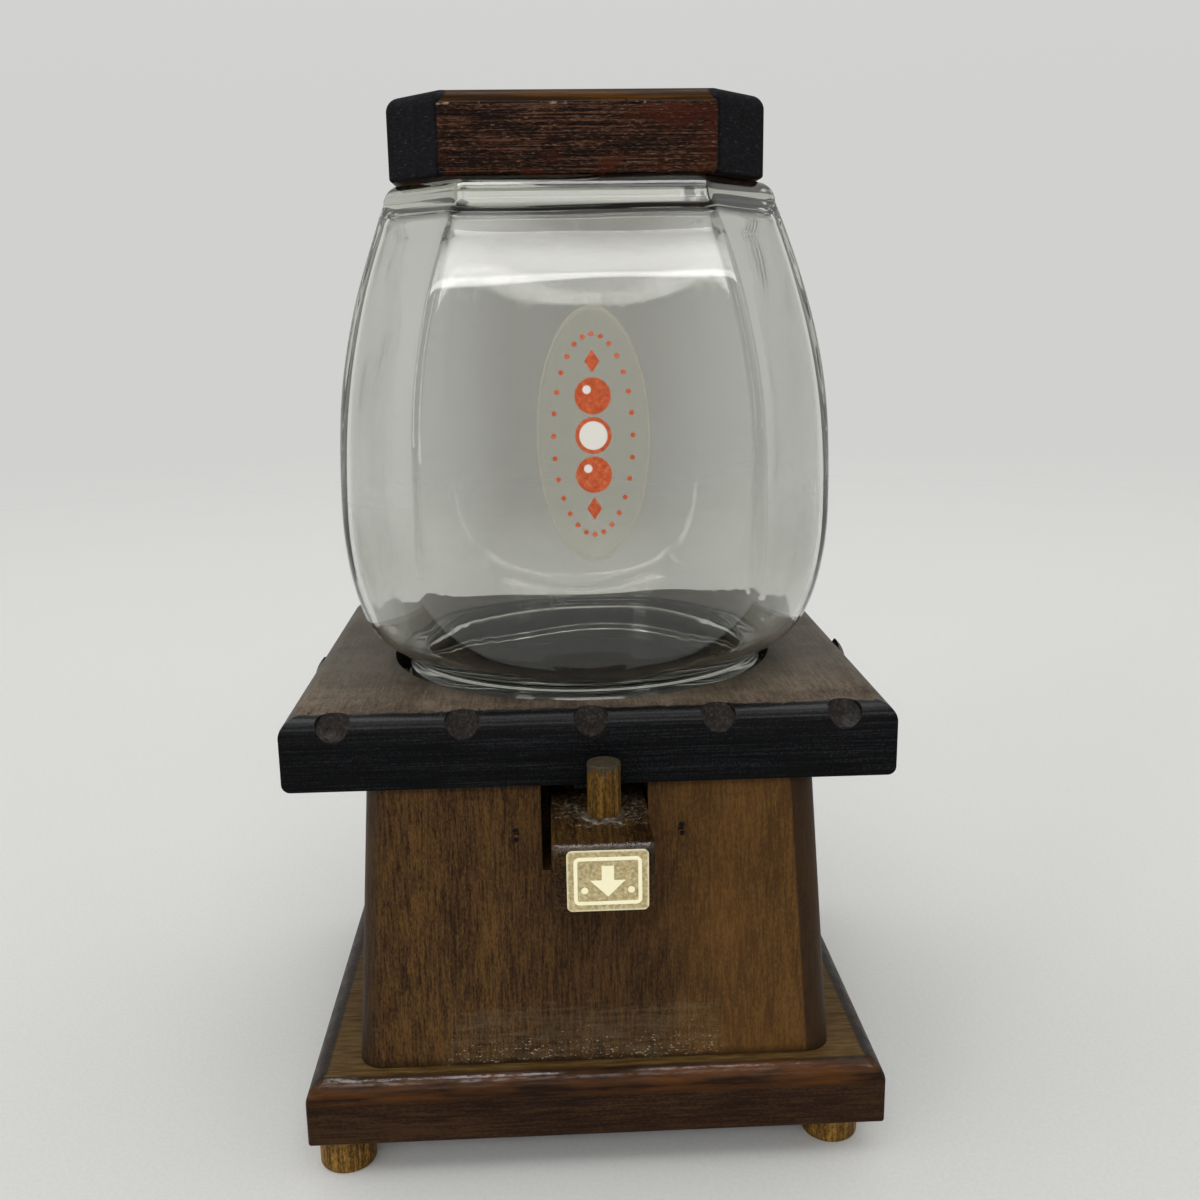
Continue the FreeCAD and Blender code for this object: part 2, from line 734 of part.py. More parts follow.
def jar_form(name, inset, top, heel):
    """The jar's form, set in by a wall all round, up to a level above its mouth."""
    blocks = []
    for number, turn in enumerate(range(0, 360, 90)):
        blocks.append(facet_block(f"{name}_flat_{number}", turn, f"jar_half - {inset}", f"jar_upper_arc - {inset}",
                                  top, heel, foot=f"neck_diameter / 2 + jar_facet_clear - {inset}",
                                  lower=f"jar_lower_arc - {inset}"))
        blocks.append(facet_block(f"{name}_corner_{number}", turn + 45, f"jar_corner_half - {inset}",
                                  f"jar_corner_arc - {inset}", top, heel))
    reach = "sqrt(jar_half^2 + (sqrt(2) * jar_corner_half - jar_half)^2) - shoulder_trim"
    blocks.append(turned_block(f"{name}_turned", f"neck_diameter / 2 - {inset}", f"neck_fillet + {inset}",
                               f"shoulder_arc - {inset}", f"{reach} - {inset}", top))
    return common(name, *blocks)


def make_jar():
    outside = jar_form("jar_outside", "0", "jar_height", "jar_heel")
    inside = jar_form("jar_inside", "jar_wall", "jar_height - jar_base", "jar_inner_heel")
    bead = bind(doc.addObject("Part::Torus", "jar_bead"), Radius1="neck_diameter / 2", Radius2="neck_bead")
    place(bead, "jar_shift", "axis_setback", f"{recess_floor} + neck_bead_level")
    keep("glass_jar", cut("glass_jar", fuse("jar_with_bead", outside, bead), inside))


def make_decal():
    skin = facet_block("decal_skin", -90, "jar_half + decal_thickness", "jar_upper_arc + decal_thickness",
                       "jar_height", "jar_heel", foot="neck_diameter / 2 + jar_facet_clear + decal_thickness",
                       lower="jar_lower_arc + decal_thickness")
    core = facet_block("decal_core", -90, "jar_half", "jar_upper_arc", "jar_height", "jar_heel",
                       foot="neck_diameter / 2 + jar_facet_clear", lower="jar_lower_arc")
    oval = bind(doc.addObject("Part::Ellipse", "decal_oval"), MajorRadius="decal_height / 2",
                MinorRadius="decal_width / 2")
    tall = ((1, 1, 1), -120)
    place(oval, "jar_shift + decal_shift", "axis_setback - 2 * jar_half", f"{recess_floor} + decal_level", tall)
    punch = doc.addObject("Part::Extrusion", "decal_punch")
    punch.Base = oval
    punch.DirMode = "Custom"
    punch.Dir = FreeCAD.Vector(0, 1, 0)
    punch.Solid = True
    bind(punch, LengthFwd="2 * jar_half")
    keep("jar_decal", common("jar_decal", cut("decal_layer", skin, core), punch))


def make_cap():
    blank = box("cap_blank", ("cap_width", "cap_width", "cap_thickness"),
                ("-cap_width / 2", "axis_setback - cap_width / 2", f"{recess_floor} + jar_height"))
    octagon = bevel_edges("cap_octagon", blank, lambda edge: value("cap_corner") if upright_edge(edge) else 0)
    keep("jar_cap", round_board("jar_cap", octagon, "cap_roundover", "edge_ease"))


def make_jar_screws():
    ball = "((jar_screw_head^2 / 4 + jar_screw_head_height^2) / (2 * jar_screw_head_height))"
    sunk = f"({ball} - jar_screw_head_height)"
    for hand, side, out, inward in (("left", -1, LEFT, RIGHT), ("right", 1, RIGHT, LEFT)):
        label = f"jar_screw_{hand}"
        level = screw_level(hand)
        face = f"{side} * top_width / 2"
        head = bind(doc.addObject("Part::Sphere", f"{label}_head"), Radius=ball, Angle1=f"asin({sunk} / {ball})")
        place(head, f"{side} * (top_width / 2 - {sunk})", screw_line, level, out)
        tip_gap = f"top_width / 2 - {side} * jar_shift - {bead_radius} - jar_screw_tip_gap"
        shank = rod(f"{label}_shank", "jar_screw_diameter", tip_gap, (face, screw_line, level), inward)
        start = f"{face} + {side} * (jar_screw_head_height - jar_screw_slot_depth)"
        corner = start if side > 0 else f"{start} - jar_screw_slot_depth"
        slot = box(f"{label}_slot", ("jar_screw_slot_depth", "jar_screw_head", "jar_screw_slot_width"),
                   (corner, f"{screw_line} - jar_screw_head / 2", f"{level} - jar_screw_slot_width / 2"))
        keep(label, cut(label, fuse(f"{label}_whole", head, shank), slot))


def make_fastener_groups():
    keep("base_screws", group("base_screws", *base_screw_set("base_screw")))
    keep("top_screws", group("top_screws", *top_screw_set("top_screw")))
    keep("rail_brads", group("rail_brads", *brad_set("rail_brad", "brad_sink")))


def check_document():
    """Stops where an object failed or a piece has no sound solid."""
    doc.recompute()
    for thing in doc.Objects:
        if "Invalid" in thing.State or "Error" in thing.State:
            raise RuntimeError(f"{thing.Name} failed: {thing.State}")
    for label, thing in pieces.items():
        if thing.Shape.isNull() or not thing.Shape.isValid() or not thing.Shape.Solids:
            raise RuntimeError(f"{label} has no valid solid")


def write_pieces():
    os.makedirs("parts", exist_ok=True)
    for label, thing in pieces.items():
        thing.Shape.exportStep(f"parts/{label}.step")


make_base_board()
make_feet()
make_front_panel()
make_back_panel()
make_side_panels()
make_top_board()
make_rails()
make_keepers()
make_slide_floor()
make_slider_bar()
make_pull_peg()
make_pull_plate()
make_stop_pin()
make_jar()
make_decal()
make_cap()
make_jar_screws()
make_fastener_groups()
check_document()
write_pieces()
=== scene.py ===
from functools import partial
import math

import bmesh
import bpy
from mathutils import Euler, Matrix, Vector, noise


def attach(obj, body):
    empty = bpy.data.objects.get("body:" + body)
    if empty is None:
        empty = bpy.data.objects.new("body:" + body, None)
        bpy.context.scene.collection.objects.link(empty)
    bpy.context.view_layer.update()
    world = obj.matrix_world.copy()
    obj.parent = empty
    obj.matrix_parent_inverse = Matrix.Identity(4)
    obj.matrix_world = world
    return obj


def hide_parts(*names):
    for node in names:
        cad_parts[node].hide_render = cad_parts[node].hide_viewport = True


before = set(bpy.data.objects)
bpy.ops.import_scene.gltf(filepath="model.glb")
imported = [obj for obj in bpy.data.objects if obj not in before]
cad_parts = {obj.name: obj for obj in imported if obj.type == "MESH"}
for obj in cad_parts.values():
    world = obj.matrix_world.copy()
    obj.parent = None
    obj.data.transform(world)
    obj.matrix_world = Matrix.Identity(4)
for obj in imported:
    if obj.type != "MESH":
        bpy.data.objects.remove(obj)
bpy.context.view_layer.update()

MM = 0.001

# Places of the object, in millimetres: the floor is z = 0 and the front is towards -y
AXIS_X, AXIS_Y = 0.85, 8.0
BASE_HALF, BASE_ROUND = (76.75, 75.1), 5.6
BASE_TOP = 29.2
# How far the front and the sides of the box lean in over their height
FRONT_LEAN, SIDE_LEAN = 0.0589, 0.0653
BOARD_FRONT = -58.7
BOARD_TOP = 126.35
RECESS_FLOOR = 113.85
RECESS_RADIUS = 56.0
SPOT_SPACING, SPOT_RADIUS = 32.5, 4.4
CAP_TOP, CAP_FOOT = 277.35, 257.25
CAP_REACH, CAP_ROUND = 81.8, 3.6
SLIDER_TOP = 101.05
PEG = (2.8, -63.25)
PEG_RADIUS, PEG_TOP = 4.25, 114.95
PLATE_CENTRE = (2.55, 92.15)
PLATE_SIZE = (19.7, 15.6)
PLATE_BACK, PLATE_FRONT, PLATE_RELIEF = -82.7, -83.1, 0.17
FILM_CENTRE, FILM_HALVES = (1.85, 195.55), (13.7, 30.8)
NAIL_DENTS = ((-19.9, 94.1), (-19.9, 91.7), (23.3, 94.4), (23.3, 92.1))


# Colours and nodes

def linear(code, alpha=1.0):
    """An sRGB hex colour as linear light."""
    shares = [int(code[i:i + 2], 16) / 255 for i in (1, 3, 5)]
    return [s / 12.92 if s <= 0.04045 else ((s + 0.055) / 1.055) ** 2.4 for s in shares] + [alpha]


def add_node(tree, kind, inputs=None, stops=None, **settings):
    """Adds a node with its settings and links. A node as an input is linked from its first live output."""
    node = tree.nodes.new("ShaderNode" + kind)
    for name, setting in settings.items():
        setattr(node, name, setting)
    if stops:
        ramp = node.color_ramp.elements
        while len(ramp) < len(stops):
            ramp.new(1.0)
        for element, (place, colour) in zip(ramp, stops):
            element.position = place
            element.color = linear(colour)
    for socket, given in (inputs or {}).items():
        if isinstance(given, bpy.types.Node):
            given = next(out for out in given.outputs if out.enabled)
        if isinstance(given, bpy.types.NodeSocket):
            tree.links.new(given, node.inputs[socket])
        else:
            node.inputs[socket].default_value = given
    return node


def new_finish(name, **sockets):
    """A material with even sockets, what adds its nodes, its shader, and places in millimetres."""
    material = bpy.data.materials.new(name)
    material.use_nodes = True
    add = partial(add_node, material.node_tree)
    shader = material.node_tree.nodes["Principled BSDF"]
    for socket, number in sockets.items():
        shader.inputs[socket.replace("_", " ")].default_value = number
    coords = add("VectorMath", {0: add("TexCoord").outputs["Object"], "Scale": 1 / MM}, operation="SCALE")
    return material, add, shader, coords


def wire(shader, **sockets):
    """Links nodes to the sockets of a shader."""
    for socket, node in sockets.items():
        live = next(out for out in node.outputs if out.enabled)
        shader.id_data.links.new(live, shader.inputs[socket.replace("_", " ")])


def layered(add, ground, *layers):
    """A colour with others laid over it in turn, each by its share."""
    for share, colour in layers:
        top = linear(colour) if isinstance(colour, str) else colour
        ground = add("Mix", {0: share, 6: ground, 7: top}, data_type="RGBA")
    return ground


def overlap(add, *masks):
    """The mask of what lies in all the masks."""
    whole = masks[0]
    for mask in masks[1:]:
        whole = add("Math", {0: whole, 1: mask}, operation="MULTIPLY")
    return whole


def surface(add, shader, colour, marks, dull, height, depth, usual=(0.3, 0.7), **sockets):
    """Links a shader to its colour, a roughness that follows marks over their usual range, and a relief.

    The depth of the relief is in millimetres.
    """
    rough = add("MapRange", {"Value": marks, "From Min": usual[0], "From Max": usual[1],
                             "To Min": dull[0], "To Max": dull[1]})
    bump = add("Bump", {"Height": height, "Distance": depth * MM, "Strength": 0.6})
    wire(shader, Base_Color=colour, Roughness=rough, Normal=bump, **sockets)


def grain(add, coords, size, detail=3.0, shift=0.0):
    """Irregular marks of a size along x, y and z, in millimetres."""
    scale = [1 / length for length in size]
    spread = add("Mapping", {"Vector": coords, "Location": (shift,) * 3, "Scale": scale})
    return add("TexNoise", {"Vector": spread, "Scale": 1.0, "Detail": detail, "Roughness": 0.6})


def stained_wood(add, coords, along, stain, shift=0.0):
    """Colour and relief of stained softwood: bands, fine streaks, specks, and dark pores along the grain."""
    def drawn(width, length):
        return [length if axis == along else width for axis in "XYZ"]
    bands = grain(add, coords, drawn(12.0, 50.0), 3.0, shift)
    streaks = grain(add, coords, drawn(0.7, 12.0), 4.0, shift + 3.1)
    specks = grain(add, coords, drawn(0.5, 1.2), 2.0, shift + 5.3)
    # Real pores are a tenth of a millimetre wide; they are drawn four times as wide so that they show.
    pores = grain(add, coords, drawn(0.4, 5.0), 2.0, shift + 7.7)
    veined = add("Math", {0: bands, 1: 0.55, 2: streaks}, operation="MULTIPLY_ADD")
    flecked = add("Math", {0: specks, 1: 0.75, 2: veined}, operation="MULTIPLY_ADD")
    tone = add("Math", {0: flecked, 1: 0.435}, operation="MULTIPLY")
    colour = add("ValToRGB", {"Fac": tone}, stops=list(zip((0.42, 0.5, 0.58), stain)))
    open_pore = add("MapRange", {"Value": pores, "From Min": 0.61, "From Max": 0.7, "To Max": 0.8})
    relief = add("Math", {0: streaks, 1: open_pore}, operation="SUBTRACT")
    return layered(add, colour, (open_pore, "#140D07")), relief


# Woods

def panel_wood():
    # Softwood boards wiped with brown stain: upright grain, amber where the stain took less, painted shade
    # round the rounded corners, and a thin satin varnish.
    material, add, shader, coords = new_finish("stained_softwood_satin", IOR=1.5, Specular_IOR_Level=0.1)
    wood, relief = stained_wood(add, coords, "Z", ("#271809", "#412C15", "#573D1D"))
    x, y, z = add("SeparateXYZ", {"Vector": coords}).outputs
    patches = grain(add, coords, (26.0, 26.0, 40.0), 3.0, 5.0)
    to_right = add("MapRange", {"Value": x, "From Max": 40.0, "To Min": 0.25})
    warm = add("Math", {0: patches, 1: to_right}, operation="MULTIPLY")
    warm_share = add("MapRange", {"Value": warm, "From Min": 0.15, "From Max": 0.6, "To Max": 0.4})
    # How far a point lies behind the leaning front face
    behind = add("Math", {0: z, 1: -FRONT_LEAN, 2: y}, operation="MULTIPLY_ADD")
    # Painted shade on the rounded corners, with a sharp line on the right and a soft one on the left.
    lean = add("Math", {0: z, 1: SIDE_LEAN}, operation="MULTIPLY")
    to_right_edge = add("Math", {0: lean, 1: x}, operation="ADD")
    to_left_edge = add("Math", {0: lean, 1: x}, operation="SUBTRACT")
    sharp = add("MapRange", {"Value": to_right_edge, "From Min": 58.2, "From Max": 58.9, "To Max": 0.78})
    soft = add("MapRange", {"Value": to_left_edge, "From Min": 59.5, "From Max": 63.5, "To Max": 0.62})
    corner_shade_sides = add("Math", {0: sharp, 1: soft}, operation="MAXIMUM")
    straight = add("MapRange", {"Value": behind, "From Min": -53.5, "From Max": -47.5,
                                "To Min": 1.0, "To Max": 0.3})
    corner = add("Math", {0: corner_shade_sides, 1: straight}, operation="MULTIPLY")
    # Darker along the foot of the boards, where they meet the base.
    foot = add("MapRange", {"Value": z, "From Min": BASE_TOP, "From Max": BASE_TOP + 2.4,
                            "To Min": 0.75, "To Max": 0.0})
    # The middle of the front is darkest.
    off_middle = add("Math", {0: x, 1: 2.0}, operation="SUBTRACT")
    aside = add("Math", {0: off_middle}, operation="ABSOLUTE")
    handled = add("MapRange", {"Value": aside, "From Min": 8.0, "From Max": 30.0,
                               "To Min": 0.26, "To Max": 0.0}, interpolation_type="SMOOTHSTEP")
    # A pale rubbed patch low on the front: a thin haze, ragged streaks across it, and specks near its foot.
    ragged = grain(add, coords, (7.0, 7.0, 2.0), 4.0, 2.0)
    stray = add("MapRange", {"Value": ragged, "From Min": 0.3, "From Max": 0.7,
                             "To Min": -2.0, "To Max": 2.0})
    level = add("Math", {0: z, 1: stray}, operation="ADD")
    across = add("Math", {0: x, 1: stray}, operation="ADD")
    front = add("MapRange", {"Value": behind, "From Min": -60.6, "From Max": -61.2})
    limits = ((level, 29.5, 30.5), (level, 45.2, 44.6), (across, -41.0, -36.0), (across, 34.5, 33.5))
    area = overlap(add, front, *(add("MapRange", {"Value": place, "From Min": outside, "From Max": within})
                                 for place, outside, within in limits))
    hazy = grain(add, coords, (9.0, 9.0, 1.2), 4.0, 8.0)
    haze = add("MapRange", {"Value": hazy, "From Min": 0.38, "From Max": 0.7, "To Max": 0.36})
    rubbed = grain(add, coords, (0.9, 0.9, 0.5), 4.0, 11.0)
    near_foot = add("MapRange", {"Value": level, "From Min": 30.0, "From Max": 46.0,
                                 "To Min": 0.58, "To Max": 0.7})
    speck = add("Math", {0: rubbed, 1: near_foot}, operation="SUBTRACT")
    specks = add("MapRange", {"Value": speck, "From Max": 0.09, "To Max": 0.75})
    hazed = add("Math", {0: haze, 1: area}, operation="MULTIPLY")
    specked = add("Math", {0: specks, 1: area}, operation="MULTIPLY")
    # Dents over the nails that hold the rails: two, one above the other, at each nail.
    upright = add("CombineXYZ", {0: x, 1: 0.0, 2: z})
    dents = front
    for nail_x, nail_z in NAIL_DENTS:
        away = add("VectorMath", {0: upright, 1: (nail_x, 0.0, nail_z)}, operation="DISTANCE")
        worn = add("Math", {0: rubbed, 1: 1.1, 2: away.outputs["Value"]}, operation="MULTIPLY_ADD")
        clear = add("MapRange", {"Value": worn, "From Min": 1.1, "From Max": 1.5})
        dents = add("Math", {0: dents, 1: clear}, operation="MULTIPLY")
    holes = add("Math", {0: front, 1: dents}, operation="SUBTRACT")
    colour = layered(add, wood, (warm_share, "#6E4B20"), (corner, "#1D140D"), (foot, "#1A110A"),
                     (handled, "#20160C"), (hazed, "#625642"), (specked, "#A99E88"), (holes, "#0B0704"))
    pitted = add("Math", {0: relief, 1: holes}, operation="SUBTRACT")
    surface(add, shader, colour, patches, (0.42, 0.6), pitted, 0.12)
    return material


def base_wood():
    # Softwood lying down, under brown gloss that ran thick on the rounded edge; its ends are stained black.
    material, add, shader, coords = new_finish("stained_softwood_gloss", IOR=1.5, Specular_IOR_Level=0.06,
                                               Coat_Roughness=0.1)
    wood, relief = stained_wood(add, coords, "X", ("#1F130B", "#2C1C11", "#3A2818"), 2.0)
    x, y, z = add("SeparateXYZ", {"Vector": coords}).outputs
    pools = grain(add, coords, (34.0, 34.0, 3.0), 3.0, 9.0)
    # The rounded edge is orange brown with black stains, and the flat top olive brown.
    round_up = add("MapRange", {"Value": z, "From Min": BASE_TOP - 6.4, "From Max": BASE_TOP - 4.6})
    round_down = add("MapRange", {"Value": z, "From Min": BASE_TOP - 0.1, "From Max": BASE_TOP - 0.4})
    rounded = add("Math", {0: round_up, 1: round_down}, operation="MULTIPLY")
    stained = add("ValToRGB", {"Fac": pools},
                  stops=[(0.38, "#55300F"), (0.5, "#3F2610"), (0.62, "#1C1008")])
    stain_share = add("Math", {0: rounded, 1: 0.8}, operation="MULTIPLY")
    flat_top = add("MapRange", {"Value": z, "From Min": BASE_TOP - 0.3, "From Max": BASE_TOP - 0.05,
                                "To Max": 0.65})
    veins = grain(add, coords, (9.0, 1.0, 1.0), 5.0, 15.0)
    faded = add("ValToRGB", {"Fac": veins}, stops=[(0.34, "#453218"), (0.5, "#604A27"), (0.66, "#765F36")])
    # Dark line where the flat top ends, and the black ends, which meet the front edge in a mitre.
    line = add("MapRange", {"Value": z, "From Min": BASE_TOP - 0.6, "From Max": BASE_TOP - 0.15,
                            "To Max": 0.7})
    outlined = add("Math", {0: line, 1: round_down}, operation="MULTIPLY")
    aside = add("Math", {0: x}, operation="ABSOLUTE")
    out_side = add("Math", {0: aside, 1: BASE_HALF[0]}, operation="SUBTRACT")
    back = add("Math", {0: y, 1: AXIS_Y}, operation="SUBTRACT")
    fore = add("Math", {0: back}, operation="ABSOLUTE")
    out_front = add("Math", {0: fore, 1: BASE_HALF[1]}, operation="SUBTRACT")
    nearer = add("Math", {0: out_front, 1: -BASE_ROUND}, operation="MAXIMUM")
    mitre = add("Math", {0: out_side, 1: nearer}, operation="SUBTRACT")
    end = add("MapRange", {"Value": mitre, "From Min": 0.1, "From Max": 0.7, "To Max": 0.8})
    colour = layered(add, wood, (stain_share, stained), (flat_top, faded), (outlined, "#150D07"),
                     (end, "#201E1D"))
    wear = grain(add, coords, (5.0, 5.0, 2.0), 4.0, 1.0)
    runs = grain(add, coords, (45.0, 45.0, 4.0), 4.0, 21.0)
    thick = add("MapRange", {"Value": runs, "From Min": 0.42, "From Max": 0.62,
                             "To Min": 0.05, "To Max": 0.8})
    dead_end = add("MapRange", {"Value": end, "To Min": 1.0, "To Max": 0.15})
    # The gloss lies thickest on the upper half of the round.
    upper = add("MapRange", {"Value": z, "From Min": BASE_TOP - 2.3, "From Max": BASE_TOP - 1.4,
                             "To Min": 0.1})
    # The grain stands through the gloss, and breaks it.
    ridges = grain(add, coords, (3.0, 0.9, 0.9), 4.0, 25.0)
    broken = add("MapRange", {"Value": ridges, "From Min": 0.42, "From Max": 0.56, "To Min": 0.15})
    gloss = overlap(add, rounded, thick, upper, dead_end, broken)
    uneven = add("Math", {0: wear, 1: 1.5, 2: relief}, operation="MULTIPLY_ADD")
    flow = add("Bump", {"Height": wear, "Distance": 0.05 * MM, "Strength": 0.5})
    surface(add, shader, colour, wear, (0.3, 0.55), uneven, 0.13, Coat_Weight=gloss, Coat_Normal=flow)
    return material


def top_wood():
    # Black paint brushed over sawn edges, worn off the flat top to brown wood that is greyer to the rear,
    # partly from wear and partly as a painted reflection of the pale room.
    material, add, shader, coords = new_finish("worn_black_paint_on_wood", IOR=1.5, Specular_IOR_Level=0.07,
                                               Coat_Roughness=0.18)
    x, y, z = add("SeparateXYZ", {"Vector": coords}).outputs
    ragged = grain(add, coords, (2.4, 2.4, 2.4), 5.0, 4.0)
    edge = add("MapRange", {"Value": ragged, "From Min": 0.3, "From Max": 0.7,
                            "To Min": -1.2, "To Max": 1.2})
    line = add("Math", {0: y, 1: edge}, operation="ADD")
    behind = add("MapRange", {"Value": line, "From Min": BOARD_FRONT + 4.3, "From Max": BOARD_FRONT + 4.9})
    upper = add("MapRange", {"Value": z, "From Min": BOARD_TOP - 1.4, "From Max": BOARD_TOP - 0.25})
    bare = add("Math", {0: behind, 1: upper}, operation="MULTIPLY")
    # Worn top: fine fibres front to back, specks and stains.
    worn = grain(add, coords, (0.7, 8.0, 0.7), 5.0, 2.0)
    stains = grain(add, coords, (17.0, 17.0, 17.0), 4.0, 6.0)
    specks = grain(add, coords, (0.6, 0.9, 0.6), 3.0, 1.0)
    mottled = add("Math", {0: worn, 1: 0.7, 2: stains}, operation="MULTIPLY_ADD")
    flecked = add("Math", {0: specks, 1: 0.6, 2: mottled}, operation="MULTIPLY_ADD")
    shade = add("Math", {0: flecked, 1: 0.435}, operation="MULTIPLY")
    brown = add("ValToRGB", {"Fac": shade}, stops=[(0.4, "#3A3027"), (0.5, "#5B4E40"), (0.6, "#756859")])
    # Greyer to the rear: partly worn wood, partly a painted reflection that the flat top shows at a grazing
    # view.
    rear = add("MapRange", {"Value": y, "From Min": -50.0, "From Max": -12.0, "To Max": 0.6})
    # Bruises along the front edge, where the paint broke away.
    bruise = grain(add, coords, (1.6, 3.0, 1.6), 3.0, 7.0)
    bruised = add("MapRange", {"Value": bruise, "From Min": 0.6, "From Max": 0.66, "To Max": 0.8})
    near_edge = add("MapRange", {"Value": y, "From Min": BOARD_FRONT + 9.0, "From Max": BOARD_FRONT + 6.0})
    bruises = add("Math", {0: bruised, 1: near_edge}, operation="MULTIPLY")
    top = layered(add, brown, (rear, "#585650"), (bruises, "#1B1512"))
    # Painted edges, with fine marks of the saw along them and dust in the marks.
    marks = grain(add, coords, (25.0, 25.0, 0.45), 4.0, 8.0)
    dusty = add("Math", {0: specks, 1: 0.8, 2: marks}, operation="MULTIPLY_ADD")
    coat = add("Math", {0: dusty, 1: 0.555}, operation="MULTIPLY")
    paint = add("ValToRGB", {"Fac": coat}, stops=[(0.42, "#030404"), (0.52, "#0A0B0D"), (0.62, "#1D1F22")])
    # The recess and the five drilled spots are raw dark wood, and the recess is darkened further with painted
    # shade from the jar over it. The spots repeat along the edge, and point into its middle.
    flat = add("CombineXYZ", {0: x, 1: y, 2: 0.0})
    out = add("VectorMath", {0: flat, 1: (0.0, AXIS_Y, 0.0)}, operation="DISTANCE")
    inside = add("MapRange", {"Value": out.outputs["Value"], "From Min": RECESS_RADIUS + 0.2,
                              "From Max": RECESS_RADIUS - 0.1})
    along = add("Math", {0: x, 1: SPOT_SPACING / 2, 2: -SPOT_SPACING / 2}, operation="WRAP")
    slant = add("Math", {0: y, 1: z}, operation="ADD")
    off_axis = add("Math", {0: slant, 1: BOARD_FRONT + BOARD_TOP}, operation="SUBTRACT")
    off_centre = add("Math", {0: off_axis, 1: math.sqrt(0.5)}, operation="MULTIPLY")
    around = add("CombineXYZ", {0: along, 1: off_centre, 2: 0.0})
    spot_reach = add("VectorMath", {0: around}, operation="LENGTH")
    spot = add("MapRange", {"Value": spot_reach.outputs["Value"], "From Min": SPOT_RADIUS + 0.2,
                            "From Max": SPOT_RADIUS - 0.1})
    fibres = grain(add, coords, (0.8, 2.2, 0.8), 4.0, 5.0)
    recess_wood_and_painted_shade = add("ValToRGB", {"Fac": fibres},
                 stops=[(0.3, "#080706"), (0.55, "#15110E"), (0.75, "#2C2620")])
    dust = add("ValToRGB", {"Fac": fibres}, stops=[(0.3, "#14110F"), (0.55, "#262220"), (0.75, "#403932")])
    colour = layered(add, paint, (bare, top), (spot, dust), (inside, recess_wood_and_painted_shade))
    painted = add("Math", {0: 1.0, 1: bare}, operation="SUBTRACT")
    rounded = add("MapRange", {"Value": z, "From Min": BOARD_TOP - 7.85, "From Max": BOARD_TOP - 3.85,
                               "To Max": 0.09})
    clear = add("Math", {0: 1.0, 1: spot}, operation="SUBTRACT")
    gloss = overlap(add, painted, rounded, clear)
    lines = add("Mix", {0: bare, 2: dusty, 3: worn}, data_type="FLOAT")
    torn = add("Math", {0: lines, 1: bruises}, operation="SUBTRACT")
    surface(add, shader, colour, bare, (0.38, 0.62), torn, 0.2, usual=(0.0, 1.0), Coat_Weight=gloss)
    return material


